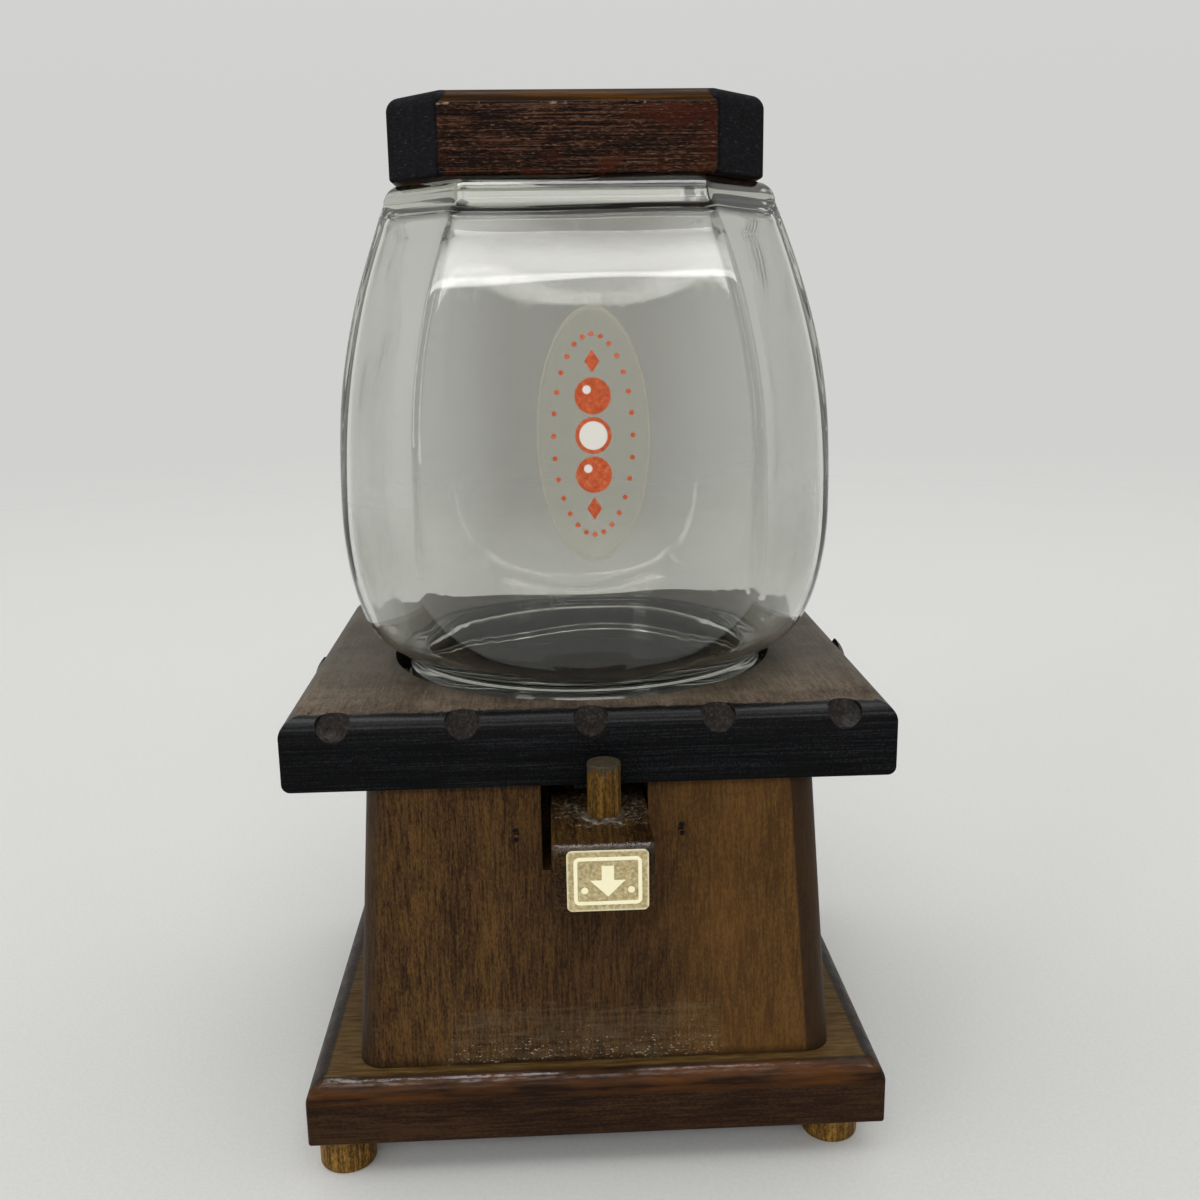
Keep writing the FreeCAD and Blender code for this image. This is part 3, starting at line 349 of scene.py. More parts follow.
def cap_wood():
    # Brown varnish over a rough-sawn block: lines of the saw across each face, torn fibres that glint, with
    # pale painted glints on them, chips, a sanded amber upper edge with a painted highlight along its foot,
    # and corners painted dull black.
    material, add, shader, coords = new_finish("rough_sawn_varnished_block", IOR=1.5,
                                               Specular_IOR_Level=0.025, Coat_Roughness=0.15)
    x, y, z = add("SeparateXYZ", {"Vector": coords}).outputs
    saw = grain(add, coords, (24.0, 24.0, 0.42), 4.0, 3.0)
    fibres = grain(add, coords, (1.3, 1.3, 0.34), 3.0, 1.0)
    patch = grain(add, coords, (12.0, 12.0, 5.0), 4.0, 2.0)
    lined = add("Math", {0: saw, 1: 2.2, 2: patch}, operation="MULTIPLY_ADD")
    torn = add("Math", {0: fibres, 1: 1.6, 2: lined}, operation="MULTIPLY_ADD")
    tone = add("Math", {0: torn, 1: 0.21}, operation="MULTIPLY")
    wood = add("ValToRGB", {"Fac": tone},
               stops=[(0.43, "#080301"), (0.485, "#1D0E06"), (0.53, "#341D0E"), (0.585, "#523828")])
    to_right = add("MapRange", {"Value": x, "From Min": -10.0, "From Max": 35.0,
                                "To Min": -0.06, "To Max": 0.07})
    red = grain(add, coords, (9.0, 9.0, 6.0), 3.0, 9.0)
    redder = add("Math", {0: red, 1: to_right}, operation="ADD")
    red_share = add("MapRange", {"Value": redder, "From Min": 0.5, "From Max": 0.62, "To Max": 0.75})
    # Pale flecks on the torn fibres are painted glints; the varnish below is glossy on them too.
    painted_glint_flecks = add("MapRange", {"Value": fibres, "From Min": 0.63, "From Max": 0.76, "To Max": 0.6})
    chip = grain(add, coords, (5.0, 5.0, 1.7), 2.0, 13.0)
    chips = add("MapRange", {"Value": chip, "From Min": 0.66, "From Max": 0.7})
    # The sanded rim, and a painted highlight along its foot: a bright broken line.
    rim = add("MapRange", {"Value": z, "From Min": CAP_TOP - CAP_ROUND + 0.2,
                           "From Max": CAP_TOP - CAP_ROUND + 0.6, "To Max": 0.96})
    sanded = grain(add, coords, (30.0, 1.4, 1.4), 4.0, 6.0)
    amber = add("ValToRGB", {"Fac": sanded}, stops=[(0.34, "#1A0D01"), (0.5, "#321C02"), (0.66, "#4E2F04")])
    off_line = add("Math", {0: z, 1: CAP_TOP - CAP_ROUND}, operation="SUBTRACT")
    from_line = add("Math", {0: off_line}, operation="ABSOLUTE")
    on_line = add("MapRange", {"Value": from_line, "From Min": 0.4, "From Max": 0.1})
    broken = grain(add, coords, (4.0, 4.0, 4.0), 4.0, 17.0)
    highlight_stretches = add("MapRange", {"Value": broken, "From Min": 0.56, "From Max": 0.66, "To Max": 0.8})
    painted_highlight_line = add("Math", {0: on_line, 1: highlight_stretches}, operation="MULTIPLY")
    # Corner facets, black also where they turn in at the rim and at the foot
    back = add("Math", {0: y, 1: AXIS_Y}, operation="SUBTRACT")
    side = add("Math", {0: x}, operation="ABSOLUTE")
    deep = add("Math", {0: back}, operation="ABSOLUTE")
    across = add("Math", {0: side, 1: deep}, operation="ADD")
    turned_in = add("MapRange", {"Value": z, "From Min": CAP_TOP - CAP_ROUND, "From Max": CAP_TOP,
                                 "To Max": 4.6})
    at_foot = add("MapRange", {"Value": z, "From Min": CAP_FOOT + 1.2, "From Max": CAP_FOOT, "To Max": 1.4})
    over = add("Math", {0: turned_in, 1: at_foot}, operation="ADD")
    reach = add("Math", {0: across, 1: over}, operation="ADD")
    corner = add("MapRange", {"Value": reach, "From Min": CAP_REACH - 0.7, "From Max": CAP_REACH - 0.3})
    dusty = grain(add, coords, (1.6, 1.6, 0.5), 4.0, 1.0)
    black = add("ValToRGB", {"Fac": dusty},
                stops=[(0.35, "#08080A"), (0.55, "#111114"), (0.68, "#202024"), (0.76, "#4E4E54")])
    colour = layered(add, wood, (red_share, "#3A1507"), (painted_glint_flecks, "#7C685A"), (chips, "#1A0602"),
                     (rim, amber), (painted_highlight_line, "#BFA98E"), (corner, black))
    bare_rim = add("Math", {0: corner, 1: rim}, operation="MAXIMUM")
    # The varnish glints on the torn fibres and lies dead elsewhere.
    varnish = add("MapRange", {"Value": painted_glint_flecks, "To Min": 0.06, "To Max": 0.9})
    sawn_face = add("MapRange", {"Value": bare_rim, "To Min": 1.0, "To Max": 0.1})
    gloss = add("Math", {0: varnish, 1: sawn_face}, operation="MULTIPLY")
    rough = add("MapRange", {"Value": corner, "To Min": 0.36, "To Max": 0.62})
    sawn = add("Math", {0: saw, 1: fibres}, operation="ADD")
    gouged = add("Math", {0: chips, 1: -2.0, 2: sawn}, operation="MULTIPLY_ADD")
    rough_part = add("Math", {0: 1.05, 1: bare_rim}, operation="SUBTRACT")
    height = add("Math", {0: gouged, 1: rough_part}, operation="MULTIPLY")
    bump = add("Bump", {"Height": height, "Distance": 0.35 * MM, "Strength": 0.8})
    wire(shader, Base_Color=colour, Roughness=rough, Coat_Weight=gloss, Normal=bump, Coat_Normal=bump)
    return material


def slider_wood():
    # A stick of dark-stained wood under brown gloss, with crumbs of old glue and torn fibres behind the peg.
    material, add, shader, coords = new_finish("dark_stained_hardwood_gloss", IOR=1.5,
                                               Specular_IOR_Level=0.06, Coat_Roughness=0.1)
    wood, relief = stained_wood(add, coords, "Y", ("#1A0F06", "#352410", "#4F381B"), 4.0)
    _, y, z = add("SeparateXYZ", {"Vector": coords}).outputs
    lumps = grain(add, coords, (3.6, 3.6, 3.6), 4.0, 2.0)
    # The front face took more stain.
    fore = add("MapRange", {"Value": y, "From Min": PLATE_BACK + 2.2, "From Max": PLATE_BACK + 0.8,
                            "To Max": 0.25})
    away = add("VectorMath", {0: coords, 1: (PEG[0], PEG[1] + 6.0, SLIDER_TOP)}, operation="DISTANCE")
    frayed = add("MapRange", {"Value": lumps, "From Min": 0.3, "From Max": 0.7,
                              "To Min": -5.0, "To Max": 5.0})
    reach = add("Math", {0: away.outputs["Value"], 1: frayed}, operation="ADD")
    near = add("MapRange", {"Value": reach, "From Min": 13.5, "From Max": 10.5})
    upper = add("MapRange", {"Value": z, "From Min": SLIDER_TOP - 2.5, "From Max": SLIDER_TOP - 0.5})
    smear = add("Math", {0: near, 1: upper}, operation="MULTIPLY")
    crumbs = grain(add, coords, (1.2, 1.2, 1.2), 4.0, 5.0)
    glue = add("ValToRGB", {"Fac": crumbs},
               stops=[(0.36, "#100A06"), (0.5, "#382C1F"), (0.6, "#5A4E3E"), (0.7, "#8A8070")])
    colour = layered(add, wood, (fore, "#140D09"), (smear, glue))
    rough = add("MapRange", {"Value": lumps, "From Min": 0.3, "From Max": 0.7,
                             "To Min": 0.25, "To Max": 0.5})
    # The varnish lies thickest along the upper edges.
    edge = add("MapRange", {"Value": z, "From Min": SLIDER_TOP - 2.6, "From Max": SLIDER_TOP - 1.0,
                            "To Max": 0.55})
    uneven = add("Math", {0: lumps, 1: 2.2, 2: relief}, operation="MULTIPLY_ADD")
    rubble = add("Math", {0: smear, 1: crumbs}, operation="MULTIPLY")
    height = add("Math", {0: rubble, 1: 3.5, 2: uneven}, operation="MULTIPLY_ADD")
    bump = add("Bump", {"Height": height, "Distance": 0.25 * MM, "Strength": 0.7})
    wire(shader, Base_Color=colour, Roughness=rough, Coat_Weight=edge, Normal=bump, Coat_Normal=bump)
    return material


def dowel_wood():
    # Birch dowel, sanded and handled to tan, with fine grain along it and dirt in patches.
    material, add, shader, coords = new_finish("handled_birch_dowel", IOR=1.5, Specular_IOR_Level=0.1)
    # The stain's tones are darkened part way as painted shade, for the feet that stand in shadow.
    wood, relief = stained_wood(add, coords, "Z", ("#3F2B11", "#6B4D1F", "#8F6C33"), 6.0)
    dirt = grain(add, coords, (7.0, 7.0, 7.0), 3.0, 3.0)
    dark = add("MapRange", {"Value": dirt, "From Min": 0.5, "From Max": 0.75, "To Max": 0.6})
    colour = layered(add, wood, (dark, "#2C2214"))
    surface(add, shader, colour, dirt, (0.5, 0.7), relief, 0.1)
    return material


def peg_wood():
    # The same dowel, browner from stain, with dark streaks down it and its upper end grey-green where the
    # grain is cut across.
    material, add, shader, coords = new_finish("stained_birch_peg", IOR=1.5, Specular_IOR_Level=0.1)
    wood, relief = stained_wood(add, coords, "Z", ("#33210A", "#573E15", "#765726"), 8.0)
    z = add("SeparateXYZ", {"Vector": coords}).outputs["Z"]
    fringe = grain(add, coords, (1.5, 1.5, 2.2), 3.0, 2.0)
    handled = grain(add, coords, (2.6, 2.6, 9.0), 2.0, 14.0)
    dark = add("MapRange", {"Value": handled, "From Min": 0.5, "From Max": 0.66, "To Max": 0.55})
    level = add("MapRange", {"Value": fringe, "From Min": 0.3, "From Max": 0.7,
                             "To Min": -1.8, "To Max": 1.8})
    height = add("Math", {0: z, 1: level}, operation="ADD")
    end = add("MapRange", {"Value": height, "From Min": PEG_TOP - 1.75, "From Max": PEG_TOP - 0.55,
                           "To Max": 0.9})
    colour = layered(add, wood, (dark, "#3A2408"), (end, "#33322A"))
    surface(add, shader, colour, fringe, (0.4, 0.6), relief, 0.1)
    return material


def inner_wood():
    # Bare softwood inside the box, never finished, brown with dust, and drawn darker still with painted shade
    # for the dark inside the box.
    material, add, shader, coords = new_finish("bare_softwood_painted_shade", IOR=1.5, Specular_IOR_Level=0.2)
    wood, relief = stained_wood(add, coords, "Y", ("#271B12", "#3C2B1A", "#523C24"), 12.0)
    surface(add, shader, wood, relief, (0.6, 0.8), relief, 0.12, usual=(0.2, 0.8))
    return material


# Glass, film, metal and glue

# Print on the film, in millimetres from its centre
DOTS, DOT_RADIUS, OVAL_HALVES = 28, 0.62, (9.6, 24.0)
BALL_RADIUS, BALL_STEP = 4.4, 9.4
DIAMOND_LEVEL = 17.6


def jar_glass():
    # Pressed soda-lime glass: clear, grey-green where it is thick, tinted darker in the middle of each side
    # as painted shade and clearer along the edges and low down as painted light, and dulled here and there by
    # finger marks.
    material, add, shader, coords = new_finish("pressed_soda_lime_glass", IOR=1.5, Transmission_Weight=1.0)
    centred = add("VectorMath", {0: coords, 1: (AXIS_X, AXIS_Y, RECESS_FLOOR)}, operation="SUBTRACT")
    unsigned = add("VectorMath", {0: centred}, operation="ABSOLUTE")
    x, y, z = add("SeparateXYZ", {"Vector": unsigned}).outputs
    from_middle = add("Math", {0: x, 1: y}, operation="MINIMUM")
    edge = add("MapRange", {"Value": from_middle, "From Min": 18.0, "From Max": 46.0},
               interpolation_type="SMOOTHSTEP")
    low = add("MapRange", {"Value": z, "From Min": 48.0, "From Max": 22.0}, interpolation_type="SMOOTHSTEP")
    clear = add("Math", {0: edge, 1: low}, operation="MAXIMUM")
    # The tint is darker in the middle of each side as painted shade, and paler along the edges and low down
    # as painted light.
    tint_with_painted_light_and_shade = layered(add, linear("#D4D4D0"), (clear, "#E6E7E3"))
    smudge = grain(add, coords, (17.0, 17.0, 17.0), 5.0, 2.0)
    rub = grain(add, coords, (1.5, 1.5, 9.0), 3.0, 6.0)
    mark = add("Math", {0: smudge, 1: rub}, operation="MULTIPLY")
    rough = add("MapRange", {"Value": mark, "From Min": 0.27, "From Max": 0.42, "To Max": 0.12})
    wire(shader, Base_Color=tint_with_painted_light_and_shade, Roughness=rough)
    # Half of the light is lost in about 150 mm of glass.
    depth = add("VolumeAbsorption", {"Color": linear("#C5C8B6"), "Density": 10.0})
    wire(material.node_tree.nodes["Material Output"], Volume=depth)
    return material


def film_print():
    # Thin clear film with an orange print: an oval of dots round a stack of balls and two diamonds.
    material, add, shader, coords = new_finish("printed_clear_film", IOR=1.45, Roughness=0.25)
    centred = add("VectorMath", {0: coords, 1: (FILM_CENTRE[0], 0.0, FILM_CENTRE[1])}, operation="SUBTRACT")
    x, _, z = add("SeparateXYZ", {"Vector": centred}).outputs
    flat = add("CombineXYZ", {0: x, 1: z, 2: 0.0})

    def disc(at_x, at_y, radius):
        away = add("VectorMath", {0: flat, 1: (at_x, at_y, 0.0)}, operation="DISTANCE")
        return add("MapRange",
                   {"Value": away.outputs["Value"], "From Min": radius + 0.14, "From Max": radius - 0.14})

    def joined(masks):
        whole = masks[0]
        for mask in masks[1:]:
            whole = add("Math", {0: whole, 1: mask}, operation="MAXIMUM")
        return whole

    dots = []
    for number in range(DOTS):
        turn = 2 * math.pi * number / DOTS
        dots.append(disc(OVAL_HALVES[0] * math.sin(turn), OVAL_HALVES[1] * math.cos(turn), DOT_RADIUS))
    balls = [disc(0.0, level, BALL_RADIUS) for level in (BALL_STEP, 0.0, -BALL_STEP)]
    cores = [disc(0.0, 0.0, BALL_RADIUS - 1.0)]
    cores += [disc(-1.4, level + 1.5, 1.0) for level in (BALL_STEP, -BALL_STEP)]
    diamonds = []
    across = add("Math", {0: x}, operation="ABSOLUTE")
    for level in (DIAMOND_LEVEL, -DIAMOND_LEVEL):
        rise = add("Math", {0: z, 1: level}, operation="SUBTRACT")
        tall = add("Math", {0: rise}, operation="ABSOLUTE")
        slope = add("Math", {0: across, 1: 1.5, 2: tall}, operation="MULTIPLY_ADD")
        diamonds.append(add("MapRange", {"Value": slope, "From Min": 2.94, "From Max": 2.66}))
    pale = joined(cores)
    ink = joined(dots + balls + diamonds)
    uneven = grain(add, coords, (1.1, 1.1, 1.1), 4.0, 5.0)
    orange = add("ValToRGB", {"Fac": uneven},
                 stops=[(0.3, "#A8431F"), (0.55, "#C75A2E"), (0.75, "#D9764A")])
    printed = layered(add, orange, (pale, "#E9E6DE"))
    colour = layered(add, linear("#ADA996"), (ink, printed))
    # The yellowish film shows a little, most along its cut edge.
    shares = [1 / half for half in FILM_HALVES]
    oval = add("VectorMath", {0: flat, 1: (*shares, 0.0)}, operation="MULTIPLY")
    out = add("VectorMath", {0: oval}, operation="LENGTH")
    film = add("MapRange", {"Value": out.outputs["Value"], "From Min": 0.95, "From Max": 0.97,
                            "To Min": 0.15, "To Max": 0.38})
    cover = add("Mix", {0: ink, 2: film, 3: 0.8}, data_type="FLOAT")
    wire(shader, Base_Color=colour, Alpha=cover)
    return material


def foil_plate():
    # Gold foil on thin embossed card: dull tan gold in the field, rubbed to pale cream on what stands up and
    # along its edge.
    material, add, shader, coords = new_finish("embossed_gold_foil", IOR=1.5)
    x, y, z = add("SeparateXYZ", {"Vector": coords}).outputs
    mottle = grain(add, coords, (0.9, 0.9, 0.9), 5.0, 3.0)
    field = add("ValToRGB", {"Fac": mottle}, stops=[(0.32, "#93825B"), (0.5, "#B4A377"), (0.68, "#D4C69A")])
    raised = add("MapRange", {"Value": y, "From Min": PLATE_FRONT + 0.12, "From Max": PLATE_FRONT + 0.04})
    bright = raised
    for place, middle, size in ((x, PLATE_CENTRE[0], PLATE_SIZE[0]), (z, PLATE_CENTRE[1], PLATE_SIZE[1])):
        off = add("Math", {0: place, 1: middle}, operation="SUBTRACT")
        away = add("Math", {0: off}, operation="ABSOLUTE")
        rubbed = add("MapRange", {"Value": away, "From Min": size / 2 - 0.6, "From Max": size / 2,
                                  "To Max": 0.7})
        bright = add("Math", {0: bright, 1: rubbed}, operation="MAXIMUM")
    colour = layered(add, field, (bright, "#FAF4CF"))
    metal = add("MapRange", {"Value": bright, "To Min": 0.2, "To Max": 0.05})
    surface(add, shader, colour, mottle, (0.3, 0.5), mottle, 0.05, Metallic=metal)
    return material


def screw_steel():
    # Heads of steel screws and nails, browned with age in patches.
    material, add, shader, coords = new_finish("browned_steel", Metallic=1.0)
    rust = grain(add, coords, (1.6, 1.6, 1.6), 5.0, 1.0)
    colour = add("ValToRGB", {"Fac": rust}, stops=[(0.3, "#1E1512"), (0.55, "#3A2B24"), (0.75, "#5C4A40")])
    surface(add, shader, colour, rust, (0.6, 0.35), rust, 0.1)
    return material


def plain_steel():
    # Zinc-plated steel of the screws that the boards hide.
    material, add, shader, coords = new_finish("zinc_plated_steel", Metallic=1.0)
    spangle = grain(add, coords, (1.0, 1.0, 1.0), 3.0, 4.0)
    colour = add("ValToRGB", {"Fac": spangle}, stops=[(0.3, "#4A4742"), (0.6, "#6E6B66"), (0.8, "#8E8B86")])
    rough = add("MapRange", {"Value": spangle, "From Min": 0.3, "From Max": 0.7,
                             "To Min": 0.35, "To Max": 0.55})
    wire(shader, Base_Color=colour, Roughness=rough)
    return material


def dried_glue():
    # Wood glue squeezed out round the peg and gone dirty: grey-brown and smooth, with a few pale flecks where
    # it chipped.
    material, add, shader, coords = new_finish("dried_wood_glue", IOR=1.46, Specular_IOR_Level=0.3)
    lumps = grain(add, coords, (2.0, 2.0, 2.0), 4.0, 7.0)
    colour = add("ValToRGB", {"Fac": lumps},
                 stops=[(0.36, "#2A1F14"), (0.52, "#463A2D"), (0.62, "#61564A"), (0.72, "#94897C")])
    surface(add, shader, colour, lumps, (0.3, 0.55), lumps, 0.3)
    return material


def backdrop_paper():
    # Matt white paper under the object, which fades into the pale room well away from it.
    material, add, shader, coords = new_finish("matt_white_paper", IOR=1.45, Roughness=0.85)
    fibre = grain(add, coords, (1.2, 1.2, 1.2), 2.0, 1.0)
    colour = add("ValToRGB", {"Fac": fibre}, stops=[(0.3, "#CACAC9"), (0.7, "#D0D0CF")])
    away = add("VectorMath", {0: coords}, operation="LENGTH")
    fade = add("MapRange", {"Value": away.outputs["Value"], "From Min": 500.0, "From Max": 2000.0,
                            "To Min": 1.0, "To Max": 0.0}, interpolation_type="SMOOTHSTEP")
    wire(shader, Base_Color=colour, Alpha=fade)
    return material


# Pieces

def new_piece(name, bm, material, body, smooth=True):
    """A mesh object at the origin that rides on a body."""
    mesh = bpy.data.meshes.new(name)
    for face in bm.faces:
        face.smooth = smooth
    bm.to_mesh(mesh)
    bm.free()
    mesh.materials.append(material)
    piece = bpy.data.objects.new(name, mesh)
    bpy.context.scene.collection.objects.link(piece)
    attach(piece, body)
    return piece


# Jar: sizes in millimetres above its mouth
BELLY = 60.7
JAR_HEIGHT = 143.4
HALF, HALF_UPPER_ARC, HALF_LOWER_ARC = 64.8, 218.0, 147.0
CORNER, CORNER_ARC = 77.15, 163.5
NECK, REACH = 52.5, 77.3
SHOULDER_OUT, SHOULDER_DROP = 30.1, 46.0
BEAD_LEVEL, BEAD = 5.0, 1.3
WALL, BASE, HEEL, INNER_HEEL = 3.5, 7.6, 5.5, 4.6
INNER_LEVEL = JAR_HEIGHT - BASE - INNER_HEEL
NECK_SWELL, SWELL_LEVEL, SWELL_SPREAD = 2.2, 16.0, 5.0
# From where the glass waves more strongly towards the closed end, and over how far that comes on
WAVES_FROM, WAVES_RISE = 108.0, 10.0
SEAT = 0.05
# Level where the facets run out into the neck, and from where their edges grow softer towards the closed end
FACETS_END, SOFTER_FROM = 20.0, 112.0
CRISP, HEEL_CRISP, INNER_CRISP, SOFT = 240.0, 150.0, 100.0, 60.0
# Columns from the middle of a flat (0) to its edge (1) and on to the middle of the corner facet (2)
EDGE_SHARES = (0.0, 0.1, 0.2, 0.3, 0.4, 0.5, 0.6, 0.69, 0.77, 0.84, 0.9, 0.94, 0.965, 0.98, 0.99, 1.0,
               1.03, 1.06, 1.1, 1.16, 1.25, 1.4, 1.6, 1.8)


def arch(level, half, radius):
    return half - radius + math.sqrt(radius ** 2 - (level - BELLY) ** 2)


def turned_radius(level):
    """Radius of the round neck and of the oval shoulder that swells from it, at a level."""
    if level > BELLY:
        return REACH
    drop = min(1.0, (BELLY - level) / SHOULDER_DROP)
    shoulder = REACH - SHOULDER_OUT * (1 - math.sqrt(1 - drop ** 2))
    return NECK * (1 + (shoulder / NECK) ** SOFT) ** (1 / SOFT)


def facet_halves(level):
    """Distance of the flat and the corner facets from the axis at a level."""
    if level < BELLY:
        clear = max(0.0, FACETS_END - level) * 0.9
        return arch(level, HALF, HALF_LOWER_ARC) + clear, CORNER + clear
    return arch(level, HALF, HALF_UPPER_ARC), arch(level, CORNER, CORNER_ARC)


def jar_radius(turn, level, inset):
    """Radius of the glass in one direction: facets with soft edges, met softly by the turned shoulder."""
    flat, corner = facet_halves(level)
    heel_share = min(1.0, max(0.0, (level - SOFTER_FROM) / (JAR_HEIGHT - HEEL - SOFTER_FROM)))
    crisp = INNER_CRISP if inset >= WALL else CRISP + (HEEL_CRISP - CRISP) * heel_share
    total = 0.0
    for facet in range(8):
        across = math.cos(turn - facet * math.pi / 4)
        if across > 0.3:
            total += (NECK * across / ((corner if facet % 2 else flat) - inset)) ** crisp
    cut = total ** (-1 / crisp)
    round_reach = (turned_radius(level) - inset) / NECK
    return NECK * (cut ** -SOFT + round_reach ** -SOFT) ** (-1 / SOFT)


def jar_turn(column, level):
    """Direction of a column of the jar's mesh at a level: the columns crowd along the facets' edges."""
    octant, step = divmod(column, len(EDGE_SHARES))
    if octant % 2:
        octant, step = octant + 1, step - len(EDGE_SHARES)
    flat, corner = facet_halves(level)
    edge = math.atan(corner * math.sqrt(2) / flat - 1)
    share = EDGE_SHARES[abs(step)] if abs(step) < len(EDGE_SHARES) else 2.0
    turn = edge * min(share, 1.0) + (math.pi / 4 - edge) * max(share - 1.0, 0.0)
    return octant * math.pi / 4 + math.copysign(turn, step)


def jar_profile():
    """Points of the wall from the middle of the closed end, down the outside and up the inside.

    Each is a level, the level whose section it takes, how far it lies inside that, and its share of the
    radius.
    """
    points = []
    top, heel_level = JAR_HEIGHT - SEAT, JAR_HEIGHT - HEEL
    for share in (0.0, 0.35, 0.7, 0.9):
        points.append((top, heel_level, HEEL, share))
    for step in range(7):
        turn = math.pi / 2 * (1 - step / 6)
        points.append((heel_level + (HEEL - SEAT) * math.sin(turn), heel_level,
                       HEEL * (1 - math.cos(turn)), 1.0))
    level = heel_level - 2.0
    while level > FACETS_END:
        points.append((level, level, 0.0, 1.0))
        level -= 2.2
    for level in (18.0, 16.0, 14.4, 13.2, 12.4, 11.6, 10.8, 10.0, 9.0, 8.0, 7.2, 6.7):
        points.append((level, level, 0.0, 1.0))
    for step in range(9):
        turn = math.pi * (0.5 - step / 8)
        points.append((BEAD_LEVEL + BEAD * math.sin(turn), BEAD_LEVEL, -BEAD * math.cos(turn), 1.0))
    for level, inset in ((2.6, 0.0), (1.2, 0.0), (0.5, 0.25), (SEAT, 1.0), (SEAT, 2.5), (0.5, 3.25),
                         (1.2, WALL)):
        points.append((level, level, inset, 1.0))
    level = 4.0
    while level < INNER_LEVEL:
        swell = NECK_SWELL * math.exp(-((level - SWELL_LEVEL) / SWELL_SPREAD) ** 2)
        points.append((level, level, WALL + swell, 1.0))
        level += 1.2 if level < 32.0 else 2.4
    for step in range(9):
        turn = math.pi / 2 * step / 8
        points.append((INNER_LEVEL + INNER_HEEL * math.sin(turn), INNER_LEVEL,
                       WALL + INNER_HEEL * (1 - math.cos(turn)), 1.0))
    for share in (0.9, 0.7, 0.35, 0.0):
        points.append((JAR_HEIGHT - BASE, INNER_LEVEL, WALL + INNER_HEEL, share))
    return points


def jar_piece(material):
    """Spins the wall's outline into a round jar, then presses the facets and the glass's waves into it."""
    profile = jar_profile()
    columns = 8 * len(EDGE_SHARES)
    bm = bmesh.new()
    chain = [bm.verts.new((point[3], 0.0, number)) for number, point in enumerate(profile)]
    edges = [bm.edges.new(pair) for pair in zip(chain, chain[1:])]
    bmesh.ops.spin(bm, geom=chain + edges, cent=(0, 0, 0), axis=(0, 0, 1), angle=2 * math.pi, steps=columns,
                   use_merge=True)
    for vert in bm.verts:
        level, section, inset, share = profile[round(vert.co.z)]
        column = round(math.atan2(vert.co.y, vert.co.x) / (2 * math.pi) * columns) % columns
        turn = jar_turn(column, section)
        reach = jar_radius(turn, section, inset) * share
        x, y = reach * math.cos(turn), reach * math.sin(turn)
        here = Vector((x, y, level))
        if inset >= WALL:
            swell = 0.4 * noise.noise(here / 26.0)
            level += 1.1 * noise.noise(here / 48.0) * max(0.0, level - INNER_LEVEL) / INNER_HEEL
        else:
            # Under the film the glass only sinks in; above it the waves are stronger and go both ways.
            above_film = min(1.0, max(0.0, level - WAVES_FROM) / WAVES_RISE)
            swell = 0.6 * above_film * noise.noise(here / 40.0 + Vector((0.3, 0.0, 0.0)))
            swell -= 0.15 * (1 + noise.noise(here / 38.0)) + 0.05 * (1 + noise.noise(here / 15.0))
        fade = min(1.0, max(0.0, level - 16.0) / 14.0, max(0.0, JAR_HEIGHT - BASE - level) / 6.0)
        push = swell * share * fade
        scale = (reach + push) / reach if reach else 0.0
        vert.co = Vector((AXIS_X + x * scale, AXIS_Y + y * scale, RECESS_FLOOR + level)) * MM
    bmesh.ops.remove_doubles(bm, verts=bm.verts, dist=0.002 * MM)
    bmesh.ops.recalc_face_normals(bm, faces=bm.faces)
    jar = new_piece("faceted_jar", bm, material, "jar")
    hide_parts("glass_jar")


def rounded_face(bm, width, height, corner, level):
    """A flat rounded rectangle that faces the front, in the middle of the plate at a depth."""
    made = bmesh.ops.create_grid(bm, x_segments=1, y_segments=1, size=0.5)
    bmesh.ops.scale(bm, vec=(width, height, 1.0), verts=made["verts"])
    bmesh.ops.rotate(bm, cent=(0, 0, 0), matrix=Matrix.Rotation(math.pi / 2, 3, "X"), verts=made["verts"])
    bmesh.ops.translate(bm, vec=(PLATE_CENTRE[0], level, PLATE_CENTRE[1]), verts=made["verts"])
    grown = bmesh.ops.bevel(bm, geom=made["verts"], offset=corner, offset_type="OFFSET", affect="VERTICES",
                            segments=6, profile=0.5, material=-1)
    return grown["verts"][0].link_faces[0]


def raise_faces(bm, faces, height):
    """Makes faces into a closed block that stands out to the front by a height."""
    grown = bmesh.ops.extrude_face_region(bm, geom=faces, use_keep_orig=True)
    front = [part for part in grown["geom"] if isinstance(part, bmesh.types.BMVert)]
    bmesh.ops.translate(bm, vec=(0, -height, 0), verts=front)


